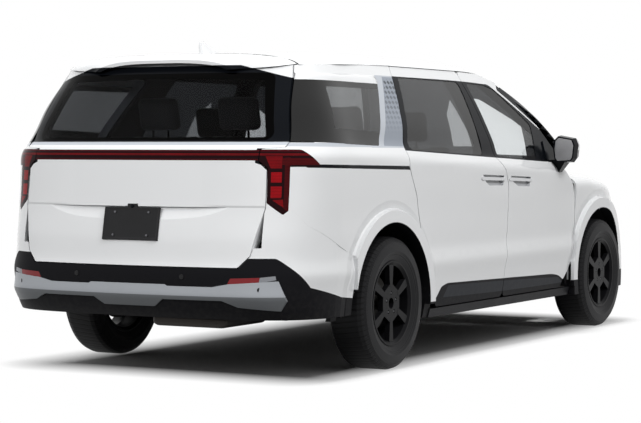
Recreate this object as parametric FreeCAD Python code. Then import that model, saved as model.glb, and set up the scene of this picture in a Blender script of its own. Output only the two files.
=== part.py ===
import FreeCAD
import Part
import math
import os

V = FreeCAD.Vector
os.makedirs("parts", exist_ok=True)

# Overall sizes, in millimetres. X points forward, Y to the left, Z up, and the
# origin is on the ground under the middle of the vehicle.
body_length = 5155.0
body_width = 1970.0
flare_width = 1995.0
roof_height = 1743.0
wheelbase = 3090.0
front_overhang = 935.0

# Wheels and tyres
wheel_track = 1744.0
tyre_radius = 362.0
tyre_width = 235.0
tyre_lip_radius = 214.0
rim_radius = 232.0
rim_width = 200.0
rim_shell = 9.0
hub_radius = 84.0
cap_bore = 30.0
cap_depth = 28.0
hub_hexagon = 112.0
spoke_count = 6
nut_count = 5
nut_circle = 57.0
nut_hole = 11.0
wheel_gap = 0.3
arch_radius = 440.0
flare_band = 68.0
flare_foot = 34.0
flare_back = 57.0
arch_shift = 22.0

# Walls and gaps
skin_wall = 24.0
door_wall = 62.0
glass_wall = 5.0
shut_gap = 6.0
trim_gap = 0.4
bumper_wall = 22.0
frame_wall = 26.0
frame_gap = 10.4
liner_wall = 12.0
front_liner_reach = 78.0
rear_liner_reach = 80.0
door_skin = 18.0

# Front door hinges
hinge_x = 1090.0
hinge_y = 935.0
hinge_heights = (470.0, 890.0)
hinge_tall = 46.0
hinge_pin = 9.0
hinge_eye = 16.0
sill_top = 297.5

# Pins of the hood and the tailgate
hood_pin_x = 1500.0
hood_pin_z = 1072.0
gate_pin_x = -2060.0
gate_pin_z = 1702.0
lid_pin = 5.0
lid_eye = 8.0

# Heights along the sides
sill_bottom = 246.0
door_bottom = 300.0
belt_fall = 0.0378
belt_middle = -55.0
roof_drop = 104.0

rear_end = -body_length / 2.0
front_end = body_length / 2.0
front_axle = front_end - front_overhang
rear_axle = front_axle - wheelbase
half_body = body_width / 2.0
half_track = wheel_track / 2.0

# How far the side stands in from the widest line, by height
side_tucks = (
    (185.0, 62.0),
    (250.0, 44.0),
    (320.0, 26.0),
    (400.0, 18.0),
    (480.0, 11.0),
    (560.0, 2.0),
    (640.0, 14.0),
    (760.0, 13.0),
    (900.0, 7.0),
    (1040.0, 2.0),
    (1085.0, 1.0),
    (1120.0, 13.0),
    (1155.0, 36.0),
    (1200.0, 50.0),
    (1300.0, 81.0),
    (1400.0, 120.0),
    (1500.0, 165.0),
    (1600.0, 217.0),
    (1640.0, 239.0),
    (1700.0, 275.0),
)

# How far the tail stands in from the rear end on the middle line, by height
tail_setbacks = (
    (300.0, 110.0),
    (350.0, 52.0),
    (400.0, 22.0),
    (450.0, 5.0),
    (500.0, 0.0),
    (560.0, 0.0),
    (620.0, 10.0),
    (648.0, 16.0),
    (729.0, 25.0),
    (800.0, 38.0),
    (899.0, 57.0),
    (980.0, 68.0),
    (1060.0, 77.0),
    (1135.0, 86.0),
    (1190.0, 95.0),
    (1235.0, 137.0),
    (1385.0, 217.0),
    (1500.0, 279.0),
    (1596.0, 331.0),
    (1640.0, 355.0),
    (1700.0, 388.0),
)

# Where the tail's flat part turns into its corner, and where the corner ends
tail_corner_starts = ((1150.0, 600.0), (1234.0, 560.0), (1385.0, 520.0), (1596.0, 400.0))
tail_corner_ends = ((900.0, 487.0), (1184.0, 527.0), (1234.0, 547.0), (1385.0, 577.0), (1596.0, 677.0))
tail_corner_insets = ((1000.0, 38.0), (1200.0, 24.0), (1400.0, 19.0))
tail_bow = 0.000128

# The nose, in the same way
nose_setbacks = (
    (230.0, 75.0),
    (300.0, 30.0),
    (380.0, 4.0),
    (470.0, 0.0),
    (560.0, 6.0),
    (640.0, 18.0),
    (720.0, 34.0),
    (800.0, 62.0),
    (860.0, 110.0),
    (900.0, 170.0),
)
nose_corner_start = 520.0
nose_corner_end = 830.0
nose_corner_inset = 60.0
nose_bow = 0.00022
nose_taper_start = 900.0
nose_taper = 34.0

# Height of the roof on the middle line, by station
roof_line = (
    (-2300.0, 1660.0),
    (-2200.0, 1689.0),
    (-2060.0, 1712.0),
    (-1600.0, 1733.0),
    (-1000.0, roof_height),
    (-400.0, roof_height),
    (100.0, 1731.0),
    (430.0, 1706.0),
    (700.0, 1668.0),
)

# Height of the hood on the middle line, by station
hood_line = (
    (1400.0, 1092.0),
    (1500.0, 1083.0),
    (1800.0, 1052.0),
    (2100.0, 1006.0),
    (2300.0, 952.0),
    (2440.0, 880.0),
    (2500.0, 826.0),
)


# Smooth curve through a short table of positions and sizes
def curve(table, at):
    if at <= table[0][0]:
        return table[0][1]
    if at >= table[-1][0]:
        return table[-1][1]
    last = len(table) - 1
    i = 0
    while table[i + 1][0] < at:
        i += 1
    rises = []
    for k in range(max(i - 1, 0), min(i + 2, last)):
        rises.append((k, (table[k + 1][1] - table[k][1]) / (table[k + 1][0] - table[k][0])))
    rise = dict(rises)

    def slope(k):
        if k - 1 not in rise or k not in rise:
            return rise.get(k, rise.get(k - 1))
        a, b = rise[k - 1], rise[k]
        if a * b <= 0.0:
            return 0.0
        return 2.0 * a * b / (a + b)

    x0, y0 = table[i]
    x1, y1 = table[i + 1]
    span = x1 - x0
    t = (at - x0) / span
    a = slope(i) * span
    b = slope(i + 1) * span
    h = 2 * t ** 3 - 3 * t ** 2
    return y0 * (1 + h) - y1 * h + a * (t ** 3 - 2 * t ** 2 + t) + b * (t ** 3 - t ** 2)


def fade(at, low, high):
    t = min(max((at - low) / (high - low), 0.0), 1.0)
    return t * t * (3 - 2 * t)


# Half width of the side at a station and a height
def half_width(x, z):
    rise = belt_fall * (x - belt_middle) * fade(z, 640.0, 1000.0)
    width = half_body - curve(side_tucks, z + rise)
    if x > nose_taper_start:
        width -= nose_taper * ((x - nose_taper_start) / 900.0) ** 2
    return width


# Three points that lead the tail's corner round to the side
def tail_corner(z):
    y0 = curve(tail_corner_starts, z)
    x0 = rear_end + curve(tail_setbacks, z) + tail_bow * y0 * y0
    x2 = rear_end + curve(tail_corner_ends, z)
    y2 = half_width(x2, z)
    y1 = y2 - curve(tail_corner_insets, z)
    x1 = x0 + 2 * tail_bow * y0 * (y1 - y0)
    return (x0, y0), (x1, y1), (x2, y2)


def nose_corner(z):
    y0 = nose_corner_start
    x0 = front_end - curve(nose_setbacks, z) - nose_bow * y0 * y0
    x2 = front_end - nose_corner_end
    y2 = half_width(x2, z)
    y1 = y2 - nose_corner_inset
    x1 = x0 - 2 * nose_bow * y0 * (y1 - y0)
    return (x0, y0), (x1, y1), (x2, y2)


def bend(points, t):
    a, b, c = points
    x = (1 - t) ** 2 * a[0] + 2 * t * (1 - t) * b[0] + t * t * c[0]
    y = (1 - t) ** 2 * a[1] + 2 * t * (1 - t) * b[1] + t * t * c[1]
    return x, y


# The tail from one corner's end, w = -1, to the other's, w = 1
def tail(w, z):
    side = 1.0 if w >= 0 else -1.0
    s = 2.0 * abs(w)
    corner = tail_corner(z)
    if s <= 1.0:
        y = s * corner[0][1]
        return V(rear_end + curve(tail_setbacks, z) + tail_bow * y * y, side * y, z)
    x, y = bend(corner, s - 1.0)
    return V(x, side * y, z)


def nose(w, z):
    side = 1.0 if w >= 0 else -1.0
    s = 2.0 * abs(w)
    corner = nose_corner(z)
    if s <= 1.0:
        y = s * corner[0][1]
        return V(front_end - curve(nose_setbacks, z) - nose_bow * y * y, side * y, z)
    x, y = bend(corner, s - 1.0)
    return V(x, side * y, z)


# The left side at a station and a height, with the tail's corner at its end
def side_y(x, z):
    corner = tail_corner(z)
    if x < corner[2][0]:
        low, high = 0.0, 1.0
        for step in range(30):
            t = (low + high) / 2.0
            if bend(corner, t)[0] < x:
                low = t
            else:
                high = t
        return bend(corner, (low + high) / 2.0)[1]
    front = nose_corner(z)
    if x > front[2][0]:
        low, high = 0.0, 1.0
        for step in range(30):
            t = (low + high) / 2.0
            if bend(front, t)[0] > x:
                low = t
            else:
                high = t
        return bend(front, (low + high) / 2.0)[1]
    return half_width(x, z)


def side(x, z):
    return V(x, side_y(x, z), z)


# From the tail's middle (-3) by its corner (-2 to -1) and the side (-1 to 1)
# to the nose's corner (1 to 2) and its middle (3)
def ring(u, z):
    if u < -1.0:
        return tail((u + 3.0) / 2.0, z)
    if u > 1.0:
        return nose((3.0 - u) / 2.0, z)
    x0 = tail_corner(z)[2][0]
    x1 = nose_corner(z)[2][0]
    x = x0 + (x1 - x0) * (u + 1.0) / 2.0
    return V(x, half_width(x, z), z)


def roof_z(x):
    return curve(roof_line, x)


def crown(r):
    return (1.0 - min(abs(r), 1.0) ** 3.2) ** (1.0 / 2.4)


def roof_edge(x):
    z = roof_z(x) - roof_drop
    return side_y(x, z), z


def roof(x, r):
    y, z = roof_edge(x)
    return V(x, r * y, z + roof_drop * crown(r))


def steps(low, high, count):
    return [low + (high - low) * i / (count - 1.0) for i in range(count)]


# Wall built inwards from a surface given by two numbers
def wall_of(place, us, vs, wall, turn=1.0):
    small = 0.004
    outer = []
    inner = []
    u_small = small * abs(us[-1] - us[0])
    v_small = small * abs(vs[-1] - vs[0])
    for u in us:
        outer_row = []
        inner_row = []
        depth = wall(u) if callable(wall) else wall
        for v in vs:
            here = place(u, v)
            along = place(u + u_small, v) - place(u - u_small, v)
            up = place(u, v + v_small) - place(u, v - v_small)
            inward = along.cross(up)
            inward.normalize()
            outer_row.append(here)
            inner_row.append(here + inward * (depth * turn))
        outer.append(outer_row)
        inner.append(inner_row)
    return between(outer, inner)


# Share of one control point in a spline at t
def share(knots, degree, i, t):
    if degree == 0:
        last = t >= knots[-1] and knots[i] < knots[i + 1] and knots[i + 1] >= knots[-1]
        return 1.0 if knots[i] <= t < knots[i + 1] or last else 0.0
    total = 0.0
    if knots[i + degree] > knots[i]:
        total += (t - knots[i]) / (knots[i + degree] - knots[i]) * share(knots, degree - 1, i, t)
    if knots[i + degree + 1] > knots[i + 1]:
        total += ((knots[i + degree + 1] - t) / (knots[i + degree + 1] - knots[i + 1])
                  * share(knots, degree - 1, i + 1, t))
    return total


# Control points of the spline that passes through rows of points
def control_rows(places, rows):
    count = len(places)
    degree = min(3, count - 1)
    knots = [places[0]] * (degree + 1)
    for j in range(1, count - degree):
        knots.append(sum(places[j:j + degree]) / degree)
    knots += [places[-1]] * (degree + 1)
    left = [[share(knots, degree, i, t) for i in range(count)] for t in places]
    right = [list(row) for row in rows]
    for k in range(count):
        pivot = max(range(k, count), key=lambda n: abs(left[n][k]))
        left[k], left[pivot] = left[pivot], left[k]
        right[k], right[pivot] = right[pivot], right[k]
        for n in range(k + 1, count):
            factor = left[n][k] / left[k][k]
            if factor != 0.0:
                left[n] = [p - factor * q for p, q in zip(left[n], left[k])]
                right[n] = [p - q * factor for p, q in zip(right[n], right[k])]
    solved = [None] * count
    for k in range(count - 1, -1, -1):
        row = right[k]
        for n in range(k + 1, count):
            if left[k][n] != 0.0:
                row = [p - q * left[k][n] for p, q in zip(row, solved[n])]
        solved[k] = [p * (1.0 / left[k][k]) for p in row]
    inner_knots = sorted(set(knots))
    mults = [knots.count(k) for k in inner_knots]
    return solved, inner_knots, mults, degree


def run_lengths(rows):
    places = [0.0]
    for k in range(len(rows) - 1):
        gaps = [(b - a).Length for a, b in zip(rows[k], rows[k + 1])]
        places.append(places[-1] + sum(gaps) / len(gaps))
    return places


# Smooth surface through a grid of points, spaced by given lengths
def skin(grid, u_places, v_places):
    rows, u_knots, u_mults, u_degree = control_rows(u_places, grid)
    columns = [list(column) for column in zip(*rows)]
    poles, v_knots, v_mults, v_degree = control_rows(v_places, columns)
    surface = Part.BSplineSurface()
    surface.buildFromPolesMultsKnots([list(row) for row in zip(*poles)], u_mults, v_mults,
                                     u_knots, v_knots, False, False, u_degree, v_degree)
    return surface


def between(outer, inner):
    u_places = run_lengths(outer)
    v_places = run_lengths([list(column) for column in zip(*outer)])
    a = skin(outer, u_places, v_places)
    b = skin(inner, u_places, v_places)
    faces = [a.toShape(), b.toShape()]
    u0, u1, v0, v1 = a.bounds()
    p0, p1, q0, q1 = b.bounds()
    pairs = (
        (a.uIso(u0), b.uIso(p0)),
        (a.uIso(u1), b.uIso(p1)),
        (a.vIso(v0), b.vIso(q0)),
        (a.vIso(v1), b.vIso(q1)),
    )
    for one, two in pairs:
        faces.append(Part.makeRuledSurface(one.toShape(), two.toShape()))
    shell = Part.makeShell(faces)
    shell.sewShape()
    solid = Part.makeSolid(shell)
    if solid.Volume < 0:
        solid.reverse()
    return solid


# Closed outline in a plane, each corner with its own radius
def outline_wire(points, lift):
    count = len(points)
    starts = []
    for i in range(count):
        x, y, r = points[i]
        here = V(x, y, 0)
        before = V(points[i - 1][0], points[i - 1][1], 0) - here
        after = V(points[(i + 1) % count][0], points[(i + 1) % count][1], 0) - here
        if r <= 0.0:
            starts.append((here, None, here))
            continue
        half = before.getAngle(after) / 2.0
        reach = min(r / math.tan(half), 0.49 * before.Length, 0.49 * after.Length)
        radius = reach * math.tan(half)
        one = here + before.normalize() * reach
        two = here + after.normalize() * reach
        middle_way = (one + two) * 0.5 - here
        middle_way.normalize()
        mid = here + middle_way * (radius / math.sin(half) - radius)
        starts.append((one, mid, two))
    edges = []
    for i in range(count):
        one, mid, two = starts[i]
        if mid is not None:
            edges.append(Part.Arc(lift(one), lift(mid), lift(two)).toShape())
        following = starts[(i + 1) % count][0]
        if (following - two).Length > 0.001:
            edges.append(Part.LineSegment(lift(two), lift(following)).toShape())
    return Part.Wire(edges)


# Prism along Y from an outline of (x, z, corner radius)
def side_prism(points, y0, y1):
    wire = outline_wire(points, lambda p: V(p.x, y0, p.y))
    return Part.Face(wire).extrude(V(0, y1 - y0, 0))


# Prism along X from an outline of (y, z, corner radius)
def end_prism(points, x0, x1):
    wire = outline_wire(points, lambda p: V(x0, p.x, p.y))
    return Part.Face(wire).extrude(V(x1 - x0, 0, 0))


# Prism along Z from an outline of (x, y, corner radius)
def plan_prism(points, z0, z1):
    wire = outline_wire(points, lambda p: V(p.x, p.y, z0))
    return Part.Face(wire).extrude(V(0, 0, z1 - z0))


def block(x0, x1, y0, y1, z0, z1):
    return Part.makeBox(x1 - x0, y1 - y0, z1 - z0, V(x0, y0, z0))


def rod_y(radius, x, y0, y1, z):
    return Part.makeCylinder(radius, y1 - y0, V(x, y0, z), V(0, 1, 0))


def rod_x(radius, x0, x1, y, z):
    return Part.makeCylinder(radius, x1 - x0, V(x0, y, z), V(1, 0, 0))


def rod_between(radius, one, two):
    way = two - one
    return Part.makeCylinder(radius, way.Length, one, way)


def ring_y(outer, inner, x, y0, y1, z):
    return rod_y(outer, x, y0, y1, z).cut(rod_y(inner, x, y0 - 1, y1 + 1, z))


def eased_box(x0, x1, y0, y1, z0, z1, radius):
    box = block(x0, x1, y0, y1, z0, z1)
    return box.makeFillet(radius, box.Edges)


def mirrored(shape):
    return shape.mirror(V(0, 0, 0), V(0, 1, 0))


def join(shapes):
    whole = shapes[0]
    if len(shapes) > 1:
        whole = whole.fuse(shapes[1:])
    return whole.removeSplitter()


def save(name, shapes):
    if not isinstance(shapes, (list, tuple)):
        shapes = [shapes]
    solids = []
    for shape in shapes:
        solids.extend(shape.Solids)
    if not solids:
        raise ValueError(name + " has no solid")
    whole = solids[0] if len(solids) == 1 else Part.makeCompound(solids)
    if not whole.isValid():
        print(name, "is not valid")
    whole.exportStep("parts/" + name + ".step")
    box = whole.BoundBox
    print(name, len(solids), "solids", round(whole.Volume / 1e6, 2), "litres",
          [round(a) for a in (box.XMin, box.YMin, box.ZMin, box.XMax, box.YMax, box.ZMax)])


def save_both(name, shape):
    save(name + "_left", shape)
    save(name + "_right", mirrored(shape))


# Shut lines of the side, as (x, z, corner radius) outlines
b_line = ((-150.0, 1700.0), (-143.0, 1600.0), (-50.0, 1152.0), (36.0, 1072.0), (86.0, 990.0),
          (92.0, 860.0), (86.0, 700.0), (48.0, 440.0), (30.0, 200.0))
slide_rear_line = ((-1078.0, 1700.0), (-1086.0, 1640.0), (-1262.0, 1200.0), (-1264.0, 1098.0),
                   (-1169.0, 945.0), (-1104.0, 751.0), (-1020.0, 639.0), (-960.0, 507.0),
                   (-905.0, 373.0), (-890.0, 200.0))
front_edge_line = ((930.0, 1190.0), (960.0, 1085.0), (1130.0, 960.0), (1172.0, 880.0), (1176.0, 668.0),
                   (1120.0, 480.0), (1071.0, 409.0), (985.0, 343.0), (955.0, 200.0))
frame_top = 1668.0


def shifted(line, dx):
    return [(x + dx, z) for x, z in line]


def with_radius(points, radius):
    return [(x, z, radius) for x, z in points]


gap_half = shut_gap / 2.0


def slide_outline(grow):
    rear = [(x, z) for x, z in shifted(slide_rear_line, gap_half - grow)
            if door_bottom < z < frame_top]
    front = [(x, z) for x, z in shifted(b_line, -gap_half + grow) if door_bottom < z < frame_top]
    top = frame_top - gap_half + grow
    low = door_bottom + gap_half - grow
    points = [(-1075.0 + gap_half - grow, top)] + rear + [(-897.0 + gap_half - grow, low)]
    points += [(38.0 - gap_half + grow, low)] + front[::-1] + [(-147.0 - gap_half + grow, top)]
    return with_radius(points, 38.0)


def front_outline(grow):
    rear = [(x, z) for x, z in shifted(b_line, gap_half - grow) if door_bottom < z < frame_top]
    front = [(x, z) for x, z in shifted(front_edge_line, -gap_half + grow) if door_bottom < z]
    top = frame_top - gap_half + grow
    low = door_bottom + gap_half - grow
    points = [(-147.0 + gap_half - grow, top)] + rear + [(38.0 + gap_half - grow, low)]
    points += [(965.0 - gap_half + grow, low)] + front[::-1]
    points += [(660.0 + grow, 1440.0 + grow), (330.0 + grow, 1622.0 + grow), (150.0, top - 6.0)]
    return with_radius(points, 38.0)


slide_window = with_radius(((-1030.0, 1604.0), (-1212.0, 1196.0), (-215.0, 1163.0), (-205.0, 1600.0)), 34.0)
front_window = with_radius(((-95.0, 1598.0), (-4.0, 1156.0), (590.0, 1132.0), (655.0, 1352.0),
                            (300.0, 1566.0), (180.0, 1592.0)), 30.0)
quarter_window = with_radius(((-2130.0, 1600.0), (-2440.0, 1246.0), (-1560.0, 1218.0), (-1300.0, 1604.0)), 26.0)


# Door handles: recess and strap, as (x, z) corners
slide_recess = ((-300.0, 1048.0), (16.0, 1038.0), (8.0, 979.0), (-193.0, 981.0), (-246.0, 1003.0))
slide_strap = ((-316.0, 1036.0), (32.0, 1026.0), (32.0, 1007.0), (-310.0, 1016.0))
front_recess = ((106.0, 1036.0), (424.0, 1024.0), (406.0, 966.0), (232.0, 971.0), (162.0, 996.0))
front_strap = ((94.0, 1026.0), (440.0, 1013.0), (438.0, 995.0), (92.0, 1006.0))
handle_depth = 16.0


def inset(points, amount):
    middle_x = sum(p[0] for p in points) / len(points)
    middle_z = sum(p[1] for p in points) / len(points)
    moved = []
    for x, z, r in points:
        way = V(middle_x - x, middle_z - z, 0)
        way.normalize()
        moved.append((x + way.x * amount, z + way.y * amount, r))
    return moved


def wheel_hole(axle, radius, y0, y1):
    hole = rod_y(radius, axle, y0, y1, tyre_radius)
    return hole.fuse(block(axle - radius, axle + radius, y0, y1, 0.0, tyre_radius))


far = half_body + 60.0
arch_front = wheel_hole(front_axle - arch_shift, arch_radius, 400.0, far)
arch_rear = wheel_hole(rear_axle - arch_shift, arch_radius, 400.0, far)


# Raised band around a wheel's opening
def flare(axle, back):
    middle = axle - arch_shift
    outer = arch_radius + flare_band
    band = ring_y(outer + flare_foot, arch_radius, middle, back, flare_width / 2.0, tyre_radius)
    cone = Part.makeCone(outer + flare_foot, outer - 2.0, flare_width / 2.0 + 2.0 - back,
                         V(middle, back, tyre_radius), V(0, 1, 0))
    return band.common(cone).cut(block(middle - 600, middle + 600, 0, 1200, 0, sill_bottom))


# The front flare, which follows the fender and the bumper round to the nose
def front_flare():
    plan = plan_prism([(1000.0, 900.0, 0), (1000.0, 994.0, 0), (1760.0, 994.0, 300.0), (1950.0, 966.0, 300.0),
                       (2180.0, 922.0, 0), (2180.0, 860.0, 0), (1950.0, 905.0, 300.0), (1760.0, 938.0, 300.0),
                       (1200.0, 952.0, 0)], 0.0, 1200.0)
    return flare(front_axle, 900.0).common(plan)


rail_line = ((-2300.0, 1600.0), (-2060.0, 1642.0), (-1500.0, 1660.0), (-1100.0, 1668.0), (-100.0, 1668.0),
             (150.0, 1663.0), (430.0, 1636.0), (700.0, 1585.0))


# Everything above the line where the roof panel meets the sides
def above_rail(grow):
    points = [(x, z + grow, 0) for x, z in rail_line]
    return side_prism(points + [(700.0, 1900.0, 0), (-2300.0, 1900.0, 0)], -far, far)


def below_rail(grow):
    points = [(x, z + grow, 0) for x, z in rail_line]
    return side_prism(points + [(700.0, 1400.0, 0), (-2300.0, 1400.0, 0)], -far, far)


side_stations = [-1.9, -1.78, -1.65, -1.5, -1.35, -1.2, -1.08, -1.0, -0.92, -0.8, -0.65, -0.5,
                 -0.3, -0.1, 0.1, 0.3, 0.45, 0.6]
side_heights = [250.0, 330.0, 420.0, 500.0, 560.0, 620.0, 700.0, 820.0, 940.0, 1040.0, 1085.0,
                1120.0, 1160.0, 1210.0, 1300.0, 1400.0, 1500.0, 1600.0, 1680.0]


# The same surface, moved sideways until it lies a given depth inside
def set_in(place, depth):
    def deeper(u, v):
        along = place(u + 0.004, v) - place(u - 0.004, v)
        up = place(u, v + 2.0) - place(u, v - 2.0)
        inward = along.cross(up)
        inward.normalize()
        return place(u, v) + V(0, depth / inward.y, 0)
    return deeper


# Side panel behind the doors, with its pillars and sill
def body_side():
    whole = wall_of(ring, side_stations, side_heights, door_wall)
    stem, tip = lamp_cutters(trim_gap)
    for cutter in (block(340.0, 1400.0, 0, far, 0, 1800), above_rail(0.0), tail_gate_prism(shut_gap),
                   bumper_prism(0.0), tip, stem, arch_rear, side_prism(quarter_window, 0, far),
                   side_prism(slide_outline(shut_gap), 0, far), side_prism(front_outline(shut_gap), 0, far),
                   block(-960.0, 400.0, 0, far, 0, door_bottom + 30.0),
                   rod_y(arch_radius + 2.0 + liner_wall + trim_gap, rear_axle - arch_shift, 400.0,
                         half_body - rear_liner_reach + trim_gap, tyre_radius)):
        whole = whole.cut(cutter)
    pieces = sorted(whole.Solids, key=lambda piece: -piece.Volume)
    lip = flare(rear_axle, half_body - flare_back).common(block(-3000, 0, 0, 1200, 330.0, 1200))
    lip = lip.cut([bumper_prism(0.0), side_prism(slide_outline(shut_gap + 4.0), 0, far)])
    return pieces[0].fuse(lip)


# Frames inside the doors and the quarter glass
def inner_frame():
    layer = wall_of(set_in(ring, door_wall + frame_gap), side_stations[:-1], side_heights, frame_wall)
    rear = side_prism([(-1985.0, 1800.0, 0), (-1985.0, 1560.0, 0), (-2185.0, 1225.0, 0), (-2185.0, 0.0, 0),
                       (-3000.0, 0.0, 0), (-3000.0, 1800.0, 0)], 0, far)
    ahead = side_prism([(1150.0, 1085.0, 0), (452.0, 1594.0, 0), (360.0, 1690.0, 0), (1500.0, 1690.0, 0),
                        (1500.0, 1085.0, 0)], 0, far)
    for cutter in (side_prism(slide_outline(-24.0), 0, far), side_prism(front_outline(-24.0), 0, far), ahead,
                   side_prism(quarter_window, 0, far),
                   wheel_hole(rear_axle - arch_shift, arch_radius + 20.0, 0, far), rear,
                   block(-3000.0, -2000.0, 0, far, 0, 560.0),
                   block(-3000.0, 1400.0, 0, far, 0, sill_top + wheel_gap), above_rail(-8.0)):
        layer = layer.cut(cutter)
    pieces = sorted(layer.Solids, key=lambda piece: -piece.Volume)
    return pieces[0]


def tail_gate_points(grow):
    half = [(632.0, 600.0), (690.0, 660.0), (745.0, 900.0), (742.0, 1108.0), (700.0, 1140.0),
            (700.0, 1204.0), (808.0, 1212.0), (812.0, 1234.0), (718.0, 1596.0), (690.0, 1700.0)]
    points = []
    for y, z in half:
        points.append((y + grow, z - (grow if z < 650.0 else 0.0)))
    return points


def tail_gate_prism(grow):
    half = tail_gate_points(grow)
    points = [(y, z, 8.0) for y, z in half] + [(-y, z, 8.0) for y, z in half[::-1]]
    return end_prism(points, rear_end - 60.0, tail_seam + grow)


tail_seam = -2062.0


# The bumper cover's part of the side, behind and below the quarter panel
def bumper_prism(grow):
    points = [(-2700.0, 1500.0, 0), (-2700.0, 200.0, 0), (-1900.0, 200.0, 0), (-1900.0, 640.0, 0),
              (-2060.0, 700.0, 60.0), (-2290.0, 812.0, 60.0), (-2360.0, 900.0, 60.0),
              (-2385.0, 1090.0, 20.0), (-2385.0, 1100.0, 0)]
    return side_prism([(x - grow, z, r) for x, z, r in points[1:]] + [(-2700.0 - grow, 1100.0, 0)], 600.0, far)


def lamp_cutters(grow):
    points = [(704.0 - grow, 1200.0), (704.0 - grow, 1142.0), (748.0 - grow, 1108.0), (752.0 - grow, 927.0),
              (826.0, 868.0 - grow), (846.0 + grow, 888.0)]
    low = end_prism([(y, z, 6.0) for y, z in points] + [(846.0 + grow, 1112.0, 0),
                    (846.0 + grow, 1200.0 + grow, 6.0)],
                    -2700.0, -2180.0)
    tip = side_prism([(-2420.0, 1200.0 + grow, 0), (-2420.0, 1112.0 - grow, 0), (-2205.0 + grow, 1112.0 - grow, 8.0),
                      (-2290.0 + grow, 1200.0 + grow, 20.0)], 800.0, far)
    return [low, tip]


# Posts on the sills that carry the front doors' hinge pins
def make_door_hinges():
    post = block(hinge_x - 5.0, hinge_x + 60.0, hinge_y - 145.0, hinge_y - 78.0, sill_top + wheel_gap, 1090.0)
    for z in hinge_heights:
        arm = plan_prism([(hinge_x - 12.0, hinge_y, 0), (hinge_x + 12.0, hinge_y, 0),
                          (hinge_x + 50.0, hinge_y - 90.0, 0), (hinge_x + 10.0, hinge_y - 90.0, 0)],
                         z - 14.0, z - wheel_gap)
        boss = Part.makeCylinder(hinge_eye, 14.0 - wheel_gap, V(hinge_x, hinge_y, z - 14.0))
        pin = Part.makeCylinder(hinge_pin, hinge_tall + 14.0, V(hinge_x, hinge_y, z - 14.0))
        post = join([post, arm, boss, pin])
    save("door_hinges", [post, mirrored(post)])


# Recess of a door's handle with the strap that bridges it
def with_handle(door, recess, strap):
    skin_layer = wall_of(lambda x, z: side(x, z) + V(0, 4.0, 0), steps(-330.0, 470.0, 6),
                         [920.0, 960.0, 1010.0, 1060.0, 1100.0], handle_depth + 4.0)
    door = door.cut(skin_layer.common(side_prism(with_radius(recess, 9.0), 0, far)))
    grip = wall_of(lambda x, z: side(x, z) + V(0, 3.0, 0), steps(-330.0, 470.0, 6), [990.0, 1020.0, 1050.0], 9.0)
    return door.fuse(grip.common(side_prism(with_radius(strap, 8.0), 0, far)))


def make_side_pieces():
    save_both("body_side", body_side())
    save_both("inner_frame", inner_frame())
    slab = wall_of(side, steps(-1300.0, 120.0, 7), side_heights, door_wall)
    slide = slab.common(side_prism(slide_outline(0.0), 0, far))
    slide = slide.cut(side_prism(slide_window, 0, far)).cut(arch_rear)
    save_both("sliding_door", with_handle(slide, slide_recess, slide_strap))
    slab = wall_of(side, steps(-170.0, 1200.0, 7), side_heights, door_wall)
    door = slab.common(side_prism(front_outline(0.0), 0, far))
    door = door.cut(side_prism(front_window, 0, far))
    # Ahead of its hinges the door is only its skin
    deep = wall_of(set_in(side, door_skin), steps(hinge_x - 50.0, 1260.0, 4), side_heights, door_wall)
    door = door.cut(deep)
    upper = [(x, z) for x, z in shifted(b_line, gap_half + 14.0) if z > 1100.0]
    strip = side_prism([(x, z, 0) for x, z in upper] + [(-300.0, 1152.0, 0), (-300.0, 1700.0, 0)], 0, far)
    door = door.cut(wall_of(set_in(side, 20.0), steps(-260.0, 60.0, 4), side_heights, door_wall).common(strip))
    for z in hinge_heights:
        leaf = block(hinge_x - 80.0, hinge_x, hinge_y - 8.0, hinge_y + 8.0, z, z + hinge_tall)
        eye = Part.makeCylinder(hinge_eye, hinge_tall, V(hinge_x, hinge_y, z))
        bore = Part.makeCylinder(hinge_pin + 0.3, hinge_tall, V(hinge_x, hinge_y, z))
        door = door.fuse(leaf.fuse(eye).cut(bore))
    save_both("front_door", with_handle(door, front_recess, front_strap))
    pane_heights = [1110.0, 1160.0, 1210.0, 1300.0, 1400.0, 1500.0, 1600.0, 1640.0]
    sunk = 3.0
    pane = wall_of(lambda x, z: side(x, z) - V(0, sunk, 0), steps(-1260.0, -170.0, 6), pane_heights, glass_wall)
    pane = pane.common(side_prism(inset(slide_window, trim_gap), 0, far))
    save("sliding_door_glass", [pane, mirrored(pane)])
    pane = wall_of(lambda x, z: side(x, z) - V(0, sunk, 0), steps(-140.0, 720.0, 6), pane_heights, glass_wall)
    save_both("front_door_glass", pane.common(side_prism(inset(front_window, trim_gap), 0, far)))
    us = [-1.9, -1.75, -1.6, -1.45, -1.3, -1.15, -1.0, -0.9, -0.8, -0.65, -0.5]
    pane = wall_of(lambda u, z: ring(u, z), us, pane_heights, glass_wall)
    pane = pane.common(side_prism(inset(quarter_window, trim_gap), 0, far)).cut(tail_gate_prism(shut_gap + 4.5))
    save("quarter_glass", [pane, mirrored(pane)])


# Rear edge of the spoiler, as (x, y), and its thickness by station
spoiler_edge = ((-2265.0, 0.0), (-2262.0, 150.0), (-2252.0, 300.0), (-2237.0, 450.0), (-2214.0, 599.0),
                (-2175.0, 660.0), (-2120.0, 700.0), (-2050.0, 742.0))


def spoiler_wall(x):
    return min(max(16.0 + 0.4 * (x - spoiler_edge[0][0]), 12.0), 50.0)


# A point a given height outside the tail's surface
def raised_tail(w, z, height):
    along = tail(w + 0.002, z) - tail(w - 0.002, z)
    up = tail(w, z + 0.5) - tail(w, z - 0.5)
    inward = along.cross(up)
    inward.normalize()
    return tail(w, z) - inward * height


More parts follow.
